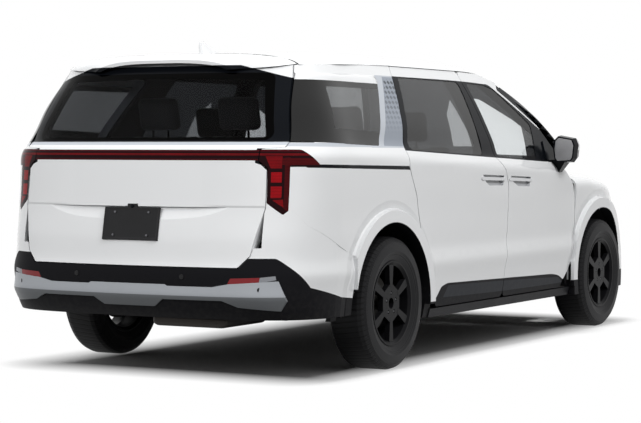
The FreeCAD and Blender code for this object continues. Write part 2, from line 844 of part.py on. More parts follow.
# Hollow under the tailgate's crease, deepest on the middle line
def crescent():
    ys = steps(-620.0, 620.0, 13)
    zs = [820.0, 850.0, 880.0, crease_height]
    outer = []
    inner = []
    for y in ys:
        sunk = [22.0 * (z - 822.0) / 83.0 - 4.0 - 24.0 * (y / 600.0) ** 4 for z in zs]
        xs = [rear_end + curve(tail_setbacks, z) + tail_bow * y * y for z in zs]
        outer.append([V(x - 60.0, y, z) for x, z in zip(xs, zs)])
        inner.append([V(x + depth, y, z) for x, z, depth in zip(xs, zs, sunk)])
    return between(outer, inner)


crease_height = 905.0

# Section of the rear skid plate as (height, how far it stands out), and half its outline
skid_section = ((370.0, 3.0), (400.0, 6.0), (430.0, 10.0), (452.0, 12.5), (475.0, 9.0), (505.0, 5.0), (550.0, 3.0))
skid_half = ((230.0, 508.0), (245.0, 500.0), (500.0, 500.0), (590.0, 517.0), (828.0, 534.0), (857.0, 431.0),
             (825.0, 379.0), (632.0, 398.0), (553.0, 431.0), (214.0, 431.0), (157.0, 391.0))


def make_tail():
    heights = [600.0, 650.0, 729.0, 800.0, 899.0, 980.0, 1060.0, 1135.0, 1170.0, 1200.0, 1235.0,
               1300.0, 1385.0, 1500.0, 1596.0, 1660.0]
    ws = [-0.92, -0.85, -0.78, -0.7, -0.6, -0.5, -0.3, 0.0, 0.3, 0.5, 0.6, 0.7, 0.78, 0.85, 0.92]
    slab = wall_of(tail, ws, heights, door_wall)
    rs = [-0.985, -0.94, -0.87, -0.77, -0.6, -0.35, 0.0, 0.35, 0.6, 0.77, 0.87, 0.94, 0.985]
    top = wall_of(roof, steps(-2280.0, tail_seam - 2.0, 5), rs, spoiler_wall, -1.0).common(above_rail(shut_gap))
    rear_edge = [(x, y, 0) for x, y in spoiler_edge] + [(x, -y, 0) for x, y in spoiler_edge[::-1]]
    top = top.common(plan_prism(rear_edge, 1500.0, 1900.0))
    gate = slab.common(tail_gate_prism(0.0))
    gate = gate.cut(block(-3000, tail_seam, -1200, 1200, 1655.0, 2000))
    gate = gate.fuse(top)
    opening = [(-745.0, 1248.0, 40.0), (745.0, 1248.0, 40.0), (648.0, 1600.0, 50.0), (-648.0, 1600.0, 50.0)]
    window = end_prism(opening, rear_end - 50, -2000.0)
    lamp_strip = end_prism([(-699.0, 1144.0, 0), (699.0, 1144.0, 0), (699.0, 1198.0, 0), (-699.0, 1198.0, 0)],
                           rear_end - 50, -2300.0)
    gate = gate.cut(window).cut(lamp_strip).cut(crescent())
    under = [(701.5, 1168.0), (744.0, 1136.0), (762.0, 1122.0), (762.0, 1215.0), (701.5, 1215.0)]
    wire = Part.makePolygon([V(-2480.0, y, z) for y, z in under + under[:1]])
    hollow = Part.Face(wire).extrude(V(300.0, 0, -180.0))
    gate = gate.cut([hollow, mirrored(hollow)])
    gate = gate.cut(rod_y(lid_eye + 9.0, gate_pin_x, -far, far, gate_pin_z))
    for s in (1.0, -1.0):
        y0, y1 = sorted((s * 114.0, s * 130.0))
        eye = rod_y(lid_eye - 1.0, gate_pin_x, y0, y1, gate_pin_z)
        eye = eye.fuse(block(gate_pin_x - 36.0, gate_pin_x, y0, y1, gate_pin_z - 12.0, gate_pin_z + 2.0))
        gate = gate.fuse(eye).cut(rod_y(lid_pin - 1.0 + wheel_gap, gate_pin_x, y0 - 1.0, y1 + 1.0, gate_pin_z))
    save("tailgate", gate)
    pane = wall_of(tail, ws[1:-1], [1210.0, 1235.0, 1300.0, 1385.0, 1500.0, 1596.0, 1640.0], glass_wall)
    pane = pane.common(end_prism(inset(opening, trim_gap), rear_end - 50, -2000.0))
    save("tailgate_glass", pane)
    bar = wall_of(tail, ws[1:-1], [1140.0, 1160.0, 1180.0, 1200.0], 30.0)
    bar = bar.common(end_prism([(-699.0 + trim_gap, 1144.0 + trim_gap, 0), (699.0 - trim_gap, 1144.0 + trim_gap, 0),
                                (699.0 - trim_gap, 1198.0 - trim_gap, 0), (-699.0 + trim_gap, 1198.0 - trim_gap, 0)],
                               rear_end - 50, -2300.0))
    save("tailgate_lamp", bar)
    us = [-1.98, -1.9, -1.8, -1.7, -1.6, -1.5, -1.4, -1.3, -1.2, -1.1]
    lamp = wall_of(ring, us, [860.0, 900.0, 960.0, 1040.0, 1110.0, 1150.0, 1200.0], 30.0)
    stem, tip = lamp_cutters(0.0)
    lamp = lamp.common(stem).fuse(lamp.common(tip))
    save("tail_lamps", [lamp, mirrored(lamp)])
    cover_ws = [-0.999, -0.94, -0.88, -0.82, -0.75, -0.68, -0.6, -0.5, -0.3, 0.0,
                0.3, 0.5, 0.6, 0.68, 0.75, 0.82, 0.88, 0.94, 0.999]
    cover_heights = [330.0, 390.0, 450.0, 500.0, 560.0, 620.0, 660.0, 729.0, 800.0, 899.0, 1000.0, 1100.0]
    cover = wall_of(tail, cover_ws, cover_heights, bumper_wall)
    cut_mid = tail_gate_prism(shut_gap)
    cover = cover.cut(cut_mid).cut(block(-3000, -2000, -745.0, 745.0, 700.0, 1300.0))
    for cutter in lamp_cutters(trim_gap):
        cover = cover.cut(cutter).cut(mirrored(cutter))
    side_bits = []
    flank = wall_of(side, steps(-2120.0, -1880.0, 4), cover_heights[:9], bumper_wall)
    flank = flank.cut([block(-3000.0, tail_corner(600.0)[2][0], 0, 1200, 0, 2000)])
    for bit in (flank, mirrored(flank)):
        side_bits.append(bit)
    cover = cover.fuse(side_bits)
    keep = bumper_prism(trim_gap)
    middle = block(-3000, -2000, -700.0, 700.0, 300.0, 1200.0)
    cover = cover.common(keep.fuse([mirrored(keep), middle]))
    cover = cover.cut([arch_rear, mirrored(arch_rear)])
    save("rear_bumper", cover)
    outer = [[raised_tail(w, z, height) for z, height in skid_section] for w in cover_ws[2:-2]]
    inner = [[raised_tail(w, z, 1.3) for z, height in skid_section] for w in cover_ws[2:-2]]
    shape = [(y, z, 4.0) for y, z in skid_half] + [(-y, z, 4.0) for y, z in skid_half[::-1]]
    save("rear_skid_plate", between(outer, inner).common(end_prism(shape, rear_end - 60.0, -2200.0)))


def make_roof():
    rs = [-0.985, -0.94, -0.87, -0.77, -0.6, -0.35, 0.0, 0.35, 0.6, 0.77, 0.87, 0.94, 0.985]
    stations = [tail_seam + shut_gap, -1800.0, -1500.0, -1100.0, -700.0, -300.0, 100.0, 400.0, 640.0]
    panel = wall_of(roof, stations, rs, skin_wall, -1.0)
    fin = side_prism([(-1866.0, 1705.0, 0), (-1664.0, 1718.0, 0), (-1690.0, 1733.0, 6.0), (-1760.0, 1752.0, 60.0),
                      (-1841.0, 1790.0, 8.0), (-1864.0, 1784.0, 4.0)], -9.0, 9.0)
    panel = panel.cut(below_rail(trim_gap))
    edge = [screen(r, 0.97) for r in steps(-1.0, 1.0, 11)]
    front = [(p.x - 4.0, p.y, 0) for p in edge]
    ends = [(386.0, 712.0, 0), (386.0, far, 0), (900.0, far, 0), (900.0, -far, 0), (386.0, -far, 0), (386.0, -712.0, 0)]
    panel = panel.cut(plan_prism(front + ends, 1400.0, 1900.0))
    panel = panel.fuse(fin)
    for s in (1.0, -1.0):
        y0, y1 = sorted((s * 109.0, s * 135.0))
        panel = panel.cut(block(gate_pin_x, gate_pin_x + 12.0, y0, y1, 1600.0, 1800.0))
        y0, y1 = sorted((s * 135.0, s * 150.0))
        arm = block(gate_pin_x - 7.0, gate_pin_x + 30.0, y0, y1, gate_pin_z - 8.0, gate_pin_z + 5.0)
        y0, y1 = sorted((s * 112.0, s * 149.0))
        panel = panel.fuse(arm).fuse(rod_y(lid_pin - 1.0, gate_pin_x, y0, y1, gate_pin_z))
    save("roof_panel", panel)


def hood_point(x, y):
    drop = 58.0 * (abs(y) / 800.0) ** 2.4 * (1.0 + 0.9 * fade(x, 1900.0, 2350.0))
    return V(x, y, curve(hood_line, x) - drop)


hood_rear = 1505.0
hood_half = 790.0
nose_top = 838.0


def make_front():
    ys = [-hood_half, -650.0, -450.0, -200.0, 0.0, 200.0, 450.0, 650.0, hood_half]
    lid = wall_of(hood_point, [hood_rear, 1650.0, 1850.0, 2050.0, 2200.0, 2320.0, 2420.0, 2470.0], ys, 22.0, -1.0)
    rim = []
    for w in steps(-0.86, 0.86, 25):
        along = nose(w + 0.01, nose_top) - nose(w - 0.01, nose_top)
        along.normalize()
        place = nose(w, nose_top) + V(-along.y, along.x, 0) * (bumper_wall + shut_gap + 1.0)
        if abs(place.y) < hood_half - 4.0:
            rim.append((place.x, place.y, 0))
    shape = plan_prism([(hood_rear - 1.0, -700.0, 0), (hood_rear + 60.0, -hood_half, 20.0), (2150.0, -hood_half, 60.0)]
                       + rim + [(2150.0, hood_half, 60.0), (hood_rear + 60.0, hood_half, 20.0),
                                (hood_rear - 1.0, 700.0, 0)], 500, 1300)
    lid = lid.common(shape)
    for s in (1.0, -1.0):
        y0, y1 = sorted((s * 134.0, s * 178.0))
        lid = lid.cut(block(hood_pin_x, hood_pin_x + 16.0, y0, y1, 1000.0, 1100.0))
        y0, y1 = sorted((s * 140.0, s * 156.0))
        eye = rod_y(lid_eye, hood_pin_x, y0, y1, hood_pin_z)
        eye = eye.fuse(block(hood_pin_x, hood_pin_x + 24.0, y0, y1, hood_pin_z - 8.0, hood_pin_z + 4.0))
        lid = lid.fuse(eye).cut(rod_y(lid_pin + wheel_gap, hood_pin_x, y0 - 1.0, y1 + 1.0, hood_pin_z))
    save("hood", lid)

    def fender_point(x, v):
        edge = hood_half + shut_gap
        top = hood_point(x, edge).z
        if v <= 1.0:
            z = sill_bottom + (top - 80.0 - sill_bottom) * v
            return V(x, side_y(x, z), z)
        t = v - 1.0
        y0 = side_y(x, top - 80.0)
        return V(x, y0 - (y0 - edge) * (1 - math.cos(t * math.pi / 2)), top - 80.0 + 80.0 * math.sin(t * math.pi / 2))

    xs = [1186.0, 1300.0, 1450.0, 1600.0, 1750.0, 1900.0, 2020.0, 2120.0, 2190.0, 2240.0]
    vs = [0.0, 0.2, 0.4, 0.55, 0.7, 0.85, 1.0, 1.2, 1.4, 1.6, 1.8, 1.97]
    panel = wall_of(fender_point, xs, vs, 14.0)
    panel = panel.cut([arch_front, side_prism(front_outline(shut_gap + 3.0), 0, far),
                       side_prism(front_bumper_points(trim_gap), 0, far), side_prism(lamp_points(trim_gap), 0, far)])
    band = front_flare()
    near = block(1000.0, 1740.0 - trim_gap, 0, far, 0, 1200.0)
    near = near.cut([side_prism(front_outline(shut_gap + 14.0), 0, far), block(1000.0, 1126.0, 0, far, 0, 303.0),
                     Part.makeCylinder(44.0, 800.0, V(hinge_x, hinge_y, 200.0))])
    panel = panel.fuse(band.common(near))
    save("front_fenders", [panel, mirrored(panel)])
    ws = [-0.999, -0.93, -0.86, -0.78, -0.7, -0.6, -0.5, -0.3, 0.0,
          0.3, 0.5, 0.6, 0.7, 0.78, 0.86, 0.93, 0.999]
    heights = [240.0, 300.0, 380.0, 470.0, 560.0, 640.0, 700.0, 760.0, 800.0, 850.0]
    cover = wall_of(nose, ws, heights, bumper_wall, -1.0).cut(block(1500.0, 2700.0, -far, far, 839.6, 900.0))
    lower_mouth = end_prism([(-560.0, 330.0, 40.0), (560.0, 330.0, 40.0), (480.0, 420.0, 40.0), (-480.0, 420.0, 40.0)],
                            2000.0, 2700.0)
    mouth = [(-590.0, 560.0, 60.0), (590.0, 560.0, 60.0), (618.0, 800.0, 30.0), (-618.0, 800.0, 30.0)]
    lamp_hole = end_prism([(640.0, 690.0, 0), (1100.0, 690.0, 0), (1100.0, 830.0, 0), (640.0, 830.0, 0)],
                          lamp_back, 2700.0)
    cover = cover.cut([end_prism(mouth, 2000.0, 2700.0), lower_mouth, arch_front, mirrored(arch_front),
                       lamp_hole, mirrored(lamp_hole)])
    behind = rod_y(arch_radius + 2.0 + liner_wall + trim_gap, front_axle - arch_shift, liner_back,
                   half_body - front_liner_reach + trim_gap, tyre_radius)
    cover = cover.cut([behind, mirrored(behind)])
    ahead = band.common(block(1740.0, 2300.0, 0, far, 0, 839.0)).cut(behind)
    save("front_bumper", cover.fuse([ahead, mirrored(ahead)]))
    grille = wall_of(lambda w, z: nose(w, z) - V(9.0, 0, 0), ws[3:-3], heights[3:], 12.0, -1.0)
    grille = grille.common(end_prism(inset(mouth, trim_gap), 2000.0, 2700.0))
    save("front_grille", grille)
    lamp = wall_of(nose, [0.5, 0.6, 0.7, 0.8, 0.9, 0.999], [690.0, 720.0, 760.0, 800.0, 830.0], 40.0, -1.0)
    lamp = lamp.common(end_prism([(642.0, 694.0, 0), (1100.0, 694.0, 0), (1100.0, 826.0, 0), (642.0, 826.0, 0)], 1500, 2700))
    round_band = rod_y(arch_radius + flare_band + flare_foot + trim_gap, front_axle - arch_shift, 0, far, tyre_radius)
    lamp = lamp.cut([block(1000.0, lamp_back + trim_gap, 0, 1200, 0, 1200), behind, round_band])
    save("headlamps", [lamp, mirrored(lamp)])


lamp_back = 1900.0


def front_bumper_points(grow):
    return [(1740.0 - grow, 840.0, 0), (1740.0 - grow, 100.0, 0), (2700.0, 100.0, 0), (2700.0, 840.0, 0)]


def lamp_points(grow):
    return [(lamp_back - grow, 830.0 + grow, 0), (lamp_back - grow, 690.0, 0), (2700.0, 690.0, 0),
            (2700.0, 830.0 + grow, 0)]


screen_top = V(632.0, 0.0, 1684.0)
screen_foot = V(1490.0, 0.0, 1098.0)


def screen(r, v):
    x = screen_foot.x + (screen_top.x - screen_foot.x) * v
    z = screen_foot.z + (screen_top.z - screen_foot.z) * v + 22.0 * math.sin(v * math.pi)
    half = 845.0 + (700.0 - 845.0) * v
    sweep = 300.0 + (160.0 - 300.0) * v
    drop = 8.0 + 62.0 * v
    return V(x - sweep * r * r, r * half, z - drop * abs(r) ** 3)


# Windscreen pillar between the screen's edge and the front door's frame
def pillar(v, s):
    edge = screen(1.0, v)
    x = 1006.0 + (395.0 - 1006.0) * v
    z = 1186.0 + (1632.0 - 1186.0) * v + 14.0 * math.sin(v * math.pi)
    out = side(x, z)
    mid = (edge + out) * 0.5 + V(10.0, 16.0, 16.0)
    if s <= 0.5:
        return out + (mid - out) * (s * 2.0)
    return mid + (edge - mid) * (s * 2.0 - 1.0)


def make_screen():
    rs = [-1.0, -0.8, -0.55, -0.3, 0.0, 0.3, 0.55, 0.8, 1.0]
    pane = wall_of(screen, rs, [0.0, 0.2, 0.45, 0.7, 0.96], glass_wall, -1.0)
    save("windscreen", pane)
    post = wall_of(pillar, steps(0.02, 0.98, 5), [0.0, 0.25, 0.5, 0.75, 0.991], 22.0)
    save("windscreen_pillars", [post, mirrored(post)])


# Cross panel behind the grille, with rubber stops under the hood
def make_header():
    bits = [block(2380.0, 2400.0, -480.0, 480.0, 300.0, 780.0)]
    for y in (-360.0, 0.0, 360.0):
        under = hood_point(2390.0, y).z - 38.0
        bits.append(Part.makeCylinder(12.0, under - 770.0, V(2390.0, y, 770.0)))
    save("front_header", join(bits))


def make_wheels():
    for end, axle in (("front", front_axle), ("rear", rear_axle)):
        half = tyre_width / 2.0
        y0 = half_track
        # Tyre section as (radius, sideways) points
        points = [(tyre_lip_radius + 12.0, -half + 22.0), (tyre_radius - 78.0, -half), (tyre_radius - 30.0, -half + 6.0),
                  (tyre_radius - 7.0, -half + 26.0), (tyre_radius, -half + 48.0), (tyre_radius, half - 48.0),
                  (tyre_radius - 7.0, half - 26.0), (tyre_radius - 30.0, half - 6.0), (tyre_radius - 78.0, half),
                  (tyre_lip_radius + 12.0, half - 22.0)]
        inner = [(rim_radius + wheel_gap, half - 22.0), (rim_radius + wheel_gap, -half + 22.0)]
        loop = [V(r, s, 0) for r, s in points[1:-1] + inner]
        loop.append(loop[0])
        face = Part.Face(Part.makePolygon(loop))
        tyre = face.revolve(V(0, 0, 0), V(0, 1, 0), 360.0)
        rim_half = rim_width / 2.0
        profile = [(rim_radius, -rim_half), (rim_radius, -rim_half + 12.0), (rim_radius - 16.0, -rim_half + 20.0),
                   (rim_radius - 24.0, 0.0), (rim_radius - 16.0, rim_half - 20.0), (rim_radius, rim_half - 12.0),
                   (rim_radius, rim_half), (rim_radius - rim_shell, rim_half),
                   (rim_radius - rim_shell - 16.0, rim_half - 14.0), (rim_radius - rim_shell - 24.0, 0.0),
                   (rim_radius - rim_shell - 16.0, -rim_half + 14.0), (rim_radius - rim_shell, -rim_half)]
        loop = [V(r, s, 0) for r, s in profile]
        loop.append(loop[0])
        barrel = Part.Face(Part.makePolygon(loop)).revolve(V(0, 0, 0), V(0, 1, 0), 360.0)
        hub = Part.makeCylinder(hub_radius, 40.0, V(0, rim_half - 50.0, 0), V(0, 1, 0))
        corners = [V(hub_hexagon * math.sin(i * math.pi / 3.0), rim_half - 42.0, hub_hexagon * math.cos(i * math.pi / 3.0))
                   for i in range(7)]
        star = Part.Face(Part.makePolygon(corners)).extrude(V(0, 32.0, 0))
        hub = hub.fuse(star)
        hub = hub.cut(Part.makeCylinder(cap_bore, 60.0, V(0, rim_half - 10.0 - cap_depth, 0), V(0, 1, 0)))
        for i in range(nut_count):
            angle = 2.0 * math.pi * i / nut_count
            place = V(nut_circle * math.sin(angle), rim_half - 30.0, nut_circle * math.cos(angle))
            hub = hub.cut(Part.makeCylinder(nut_hole, 40.0, place, V(0, 1, 0)))
        spokes = []
        for i in range(spoke_count):
            plan = [V(hub_hexagon - 22.0, 0, -15.0), V(rim_radius - 22.0, 0, -24.0), V(rim_radius - 22.0, 0, 24.0),
                    V(hub_hexagon - 22.0, 0, 15.0)]
            spoke = Part.Face(Part.makePolygon(plan + plan[:1])).extrude(V(0, 30.0, 0))
            spoke.translate(V(0, rim_half - 39.0, 0))
            spoke.rotate(V(0, 0, 0), V(0, 1, 0), 90.0 + i * 360.0 / spoke_count)
            spokes.append(spoke)
        rim = join([barrel, hub] + spokes)
        for shape, word in ((tyre, "tyre"), (rim, "rim")):
            placed = shape.copy()
            placed.translate(V(axle, y0, tyre_radius))
            save(word + "_" + end + "_left", placed)
            save(word + "_" + end + "_right", mirrored(placed))


liner_back = 534.0


# Top of a strut, just under the wheel housing that it stands in
def strut_top(x, y, axle):
    radius = 30.0
    reach = abs(x - axle + arch_shift) + radius
    top = tyre_radius + math.sqrt((arch_radius + 2.0 - wheel_gap) ** 2 - reach ** 2)
    return Part.makeCylinder(radius, 50.0, V(x, y, top - 50.0))


def make_running_gear():
    knuckle = rod_y(46.0, front_axle, half_track - 70.0, half_track + rim_width / 2.0 - 50.0 - wheel_gap, tyre_radius)
    knuckle = join([knuckle, eased_box(front_axle - 34.0, front_axle + 34.0, half_track - 100.0, half_track - 60.0,
                                       tyre_radius - 130.0, tyre_radius + 150.0, 10.0),
                    rod_y(150.0, front_axle, half_track - 40.0, half_track - 15.0, tyre_radius)])
    save_both("front_knuckle", knuckle)
    sub_low, sub_high = 200.0, 250.0
    sub = eased_box(front_axle - 240.0, front_axle + 200.0, -360.0, 360.0, sub_low, sub_high, 12.0)
    bits = [sub]
    for s in (1.0, -1.0):
        king = V(front_axle, s * (half_track - 80.0), 0)
        # Lower arm, open between its two legs
        arm = plan_prism([(front_axle + 30.0, 345.0, 0), (front_axle + 22.0, abs(king.y), 20.0),
                          (front_axle - 22.0, abs(king.y), 20.0), (front_axle - 230.0, 345.0, 0)], 200.0, 226.0)
        arm = arm.cut(plan_prism([(front_axle - 14.0, 375.0, 8.0), (front_axle - 14.0, 620.0, 8.0),
                                  (front_axle - 156.0, 375.0, 8.0)], 190.0, 250.0))
        bits.append(arm if s > 0 else mirrored(arm))
        bits.append(Part.makeCylinder(20.0, tyre_radius - 130.0 - wheel_gap - 190.0, V(king.x, king.y, 190.0)))
        # Upper bearing on the knuckle, link and upright strut
        top_z = tyre_radius + 150.0 + wheel_gap
        bits.append(Part.makeCylinder(27.0, 38.0, V(king.x, king.y, top_z)))
        strut_x = front_axle - arch_shift
        strut_y = s * (half_track - 236.0)
        y0, y1 = sorted((strut_y, king.y))
        bits.append(block(strut_x - 12.0, strut_x + 28.0, y0, y1, top_z + 6.0, top_z + 32.0))
        bits.append(Part.makeCylinder(24.0, 320.0, V(strut_x, strut_y, 460.0)))
        bits.append(strut_top(strut_x, strut_y, front_axle))
        bits.append(block(front_axle - 150.0, front_axle - 90.0, min(s * 330.0, s * 356.0), max(s * 330.0, s * 356.0),
                          sub_high - 10.0, rail_low - wheel_gap))
    save("front_suspension", join(bits))
    bits = [rod_y(34.0, rear_axle + 170.0, -680.0, 680.0, tyre_radius - 40.0)]
    for s in (1.0, -1.0):
        pivot = V(rear_axle + 582.0, s * 560.0, 228.0)
        bits.append(rod_between(30.0, pivot, V(rear_axle, s * (half_track - 150.0), tyre_radius)))
        bits.append(block(pivot.x - 25.0, pivot.x + 35.0, pivot.y - 30.0, pivot.y + 30.0, 205.0,
                          floor_low - wheel_gap))
        y0, y1 = sorted((s * (half_track - 190.0), s * (half_track + rim_width / 2.0 - 50.0 - wheel_gap)))
        bits.append(rod_y(40.0, rear_axle, y0, y1, tyre_radius))
        y0, y1 = sorted((s * (half_track - 40.0), s * (half_track - 15.0)))
        bits.append(rod_y(150.0, rear_axle, y0, y1, tyre_radius))
        bits.append(rod_between(24.0, V(rear_axle - 20.0, s * (half_track - 200.0), 330.0),
                                V(rear_axle - 20.0, s * (half_track - 236.0), 775.0)))
        bits.append(strut_top(rear_axle - 20.0, s * (half_track - 236.0), rear_axle))
    save("rear_suspension", join(bits))
    save("engine_block", eased_box(front_axle - 60.0, front_axle + 420.0, -330.0, 330.0,
                                   sub_high + wheel_gap, 860.0, 20.0))
    pipe = join([rod_x(28.0, -1850.0, 1150.0, -150.0, 238.0),
                 eased_box(-2300.0, -1840.0, -420.0, 40.0, 222.0, load_low - wheel_gap, 40.0),
                 eased_box(-200.0, 250.0, -250.0, -50.0, 190.0, floor_low - wheel_gap, 30.0)])
    save("exhaust", pipe)
    save("fuel_tank", eased_box(-800.0, -250.0, 60.0, 620.0, 170.0, floor_low - wheel_gap, 30.0))
    liners = []
    for axle, reach in ((front_axle, front_liner_reach), (rear_axle, rear_liner_reach)):
        middle = axle - arch_shift
        shell = ring_y(arch_radius + 2.0 + liner_wall, arch_radius + 2.0, middle, liner_back, half_body - reach, tyre_radius)
        shell = shell.cut(block(middle - 600, middle + 600, 0, 1200, -200, tyre_radius - 48.0))
        back = rod_y(arch_radius + 2.0 + liner_wall, middle, liner_back - liner_wall, liner_back, tyre_radius)
        back = back.cut(block(middle - 600, middle + 600, 0, 1200, -200, tyre_radius + 160.0))
        liner = shell.fuse(back)
        liners += [liner, mirrored(liner)]
    save("wheel_arch_liners", liners)


floor_low = 270.0
load_low = 330.0
rail_low = 390.0
guide_stations = (-700.0, -120.0)


def make_floor():
    profile = [(1282.0, 300.0, 0), (1270.0, floor_low, 0), (-900.0, floor_low, 20.0), (-1050.0, 420.0, 60.0),
               (-1800.0, 420.0, 60.0), (-1830.0, load_low, 30.0), (-2400.0, load_low, 20.0), (-2400.0, 620.0, 0),
               (-2375.0, 620.0, 0), (-2375.0, 360.0, 10.0), (-1860.0, 360.0, 20.0), (-1820.0, 450.0, 60.0),
               (-1035.0, 450.0, 60.0), (-890.0, 300.0, 20.0)]
    pan = side_prism(profile, -700.0, 700.0)
    wall = side_prism([(1250.0, 300.0, 0), (1280.0, 300.0, 0), (1420.0, 900.0, 0), (1420.0, 1060.0, 0),
                       (1395.0, 1060.0, 0), (1395.0, 905.0, 0)], -700.0, 700.0)
    bits = [pan, wall]
    for s in (1.0, -1.0):
        y0, y1 = sorted((s * 690.0, s * 912.0))
        bits.append(block(-930.0, 1150.0, y0, y1, 262.0, sill_top))
        # Guides on the sill that carry the sliding door
        y0, y1 = sorted((s * 898.0, s * 911.0))
        for x in guide_stations:
            bits.append(block(x - 40.0, x + 40.0, y0, y1, sill_top - 10.0, door_bottom + gap_half - wheel_gap))
        y0, y1 = sorted((s * 340.0, s * 400.0))
        bits.append(block(1300.0, 2380.0, y0, y1, rail_low, rail_low + 90.0))
    for s in (1.0, -1.0):
        y0, y1 = sorted((s * 160.0, s * 172.0))
        bits.append(side_prism([(1410.0, 1000.0, 0), (1410.0, 1045.0, 0), (1492.0, 1078.0, 0), (1506.0, 1078.0, 0),
                                (1508.0, 1066.0, 0), (1500.0, 1062.0, 0), (1440.0, 1020.0, 0), (1440.0, 1000.0, 0)],
                               y0, y1))
        y0, y1 = sorted((s * 138.0, s * 171.0))
        bits.append(rod_y(lid_pin, hood_pin_x, y0, y1, hood_pin_z))
    whole = join(bits)
    for axle in (front_axle, rear_axle):
        hole = rod_y(arch_radius + 14.6, axle - arch_shift, liner_back - 14.0, far, tyre_radius)
        whole = whole.cut(hole).cut(mirrored(hole))
    save("floor_pan", whole)
    trims = wall_of(lambda x, z: side(x, z) + V(0, 6.0, 0), steps(-960.0, 1120.0, 6),
                    [sill_bottom, 262.0, 280.0, door_bottom], 56.0)
    trims = trims.cut([arch_front, arch_rear, block(-1000.0, 1200.0, 0, 912.0 + wheel_gap, 0, 400.0),
                       block(-1000.0, 1200.0, 0, far, 296.0, 400.0)])
    trims = sorted(trims.Solids, key=lambda piece: -piece.Volume)[0]
    save("sill_trims", [trims, mirrored(trims)])


def seat(x, y, width, z):
    base = eased_box(x - 250.0, x + 260.0, y - width / 2.0, y + width / 2.0, z - 130.0, z, 40.0)
    back = eased_box(0.0, 120.0, y - width / 2.0, y + width / 2.0, 0.0, 620.0, 40.0)
    back.rotate(V(0, 0, 0), V(0, 1, 0), -16.0)
    back.translate(V(x - 300.0, 0, z - 40.0))
    head = eased_box(0.0, 90.0, y - 130.0, y + 130.0, 0.0, 190.0, 36.0)
    head.rotate(V(0, 0, 0), V(0, 1, 0), -12.0)
    head.translate(V(x - 482.0, 0, z + 590.0))
    post = rod_between(9.0, V(x - 440.0, y - 50.0, z + 520.0), V(x - 450.0, y - 50.0, z + 640.0))
    post2 = rod_between(9.0, V(x - 440.0, y + 50.0, z + 520.0), V(x - 450.0, y + 50.0, z + 640.0))
    legs = [block(x - 200.0, x + 180.0, y + a - 20.0, y + a + 20.0, floor_top(x) + 0.3, z - 125.0)
            for a in (-width / 2 + 60.0, width / 2 - 60.0)]
    return join([base, back, head, post, post2] + legs)


def floor_top(x):
    if x > -900.0:
        return 300.0
    return 450.0


seat_height = 640.0


def make_cabin():
    save("front_seats", [seat(330.0, 400.0, 520.0, seat_height), seat(330.0, -400.0, 520.0, seat_height)])
    rows = []
    for y in (430.0, -430.0):
        rows.append(seat(-560.0, y, 500.0, seat_height + 20.0))
        rows.append(seat(-1420.0, y * 0.6, 480.0, seat_height + 60.0))
    save("rear_seats", rows)
    dash = side_prism([(1180.0, 1040.0, 30.0), (1394.7, 1030.0, 0), (1394.7, 912.0, 0), (1362.0, 800.0, 30.0),
                       (1240.0, 700.0, 40.0), (1130.0, 700.0, 40.0), (1060.0, 900.0, 50.0)], -690.0, 690.0)
    shroud = Part.makeCylinder(40.0, 260.0, V(0, 0, -190.0 - wheel_gap - 260.0))
    shroud.rotate(V(0, 0, 0), V(0, 1, 0), -64.0)
    shroud.translate(V(steer_x, steer_y, steer_z))
    save("dashboard", join([dash, shroud]).cut(block(1394.7, 2000.0, -900, 900, 0, 2000)))
    wheel = Part.makeTorus(180.0, 15.0)
    hub = Part.makeCylinder(55.0, 40.0, V(0, 0, -45.0))
    arm = block(-180.0, 180.0, -16.0, 16.0, -28.0, -8.0)
    column = Part.makeCylinder(26.0, 150.0, V(0, 0, -190.0))
    wheel = join([wheel, hub, arm, column])
    wheel.rotate(V(0, 0, 0), V(0, 1, 0), -64.0)
    wheel.translate(V(steer_x, steer_y, steer_z))
    save("steering_wheel", wheel)


steer_x = 860.0
steer_y = 400.0
steer_z = 1010.0


# Mirror housing as (sideways, height) corners at three stations, from the glass forward
mirror_glass = ((976.0, 1199.0), (985.0, 1255.0), (1010.0, 1279.0), (1106.0, 1262.0), (1122.0, 1224.0),
                (1112.0, 1140.0), (1095.0, 1118.0), (1000.0, 1113.0), (984.0, 1135.0))
mirror_stations = ((795.0, 1.0), (850.0, 1.07), (915.0, 0.84))
mirror_middle = (1049.0, 1196.0)


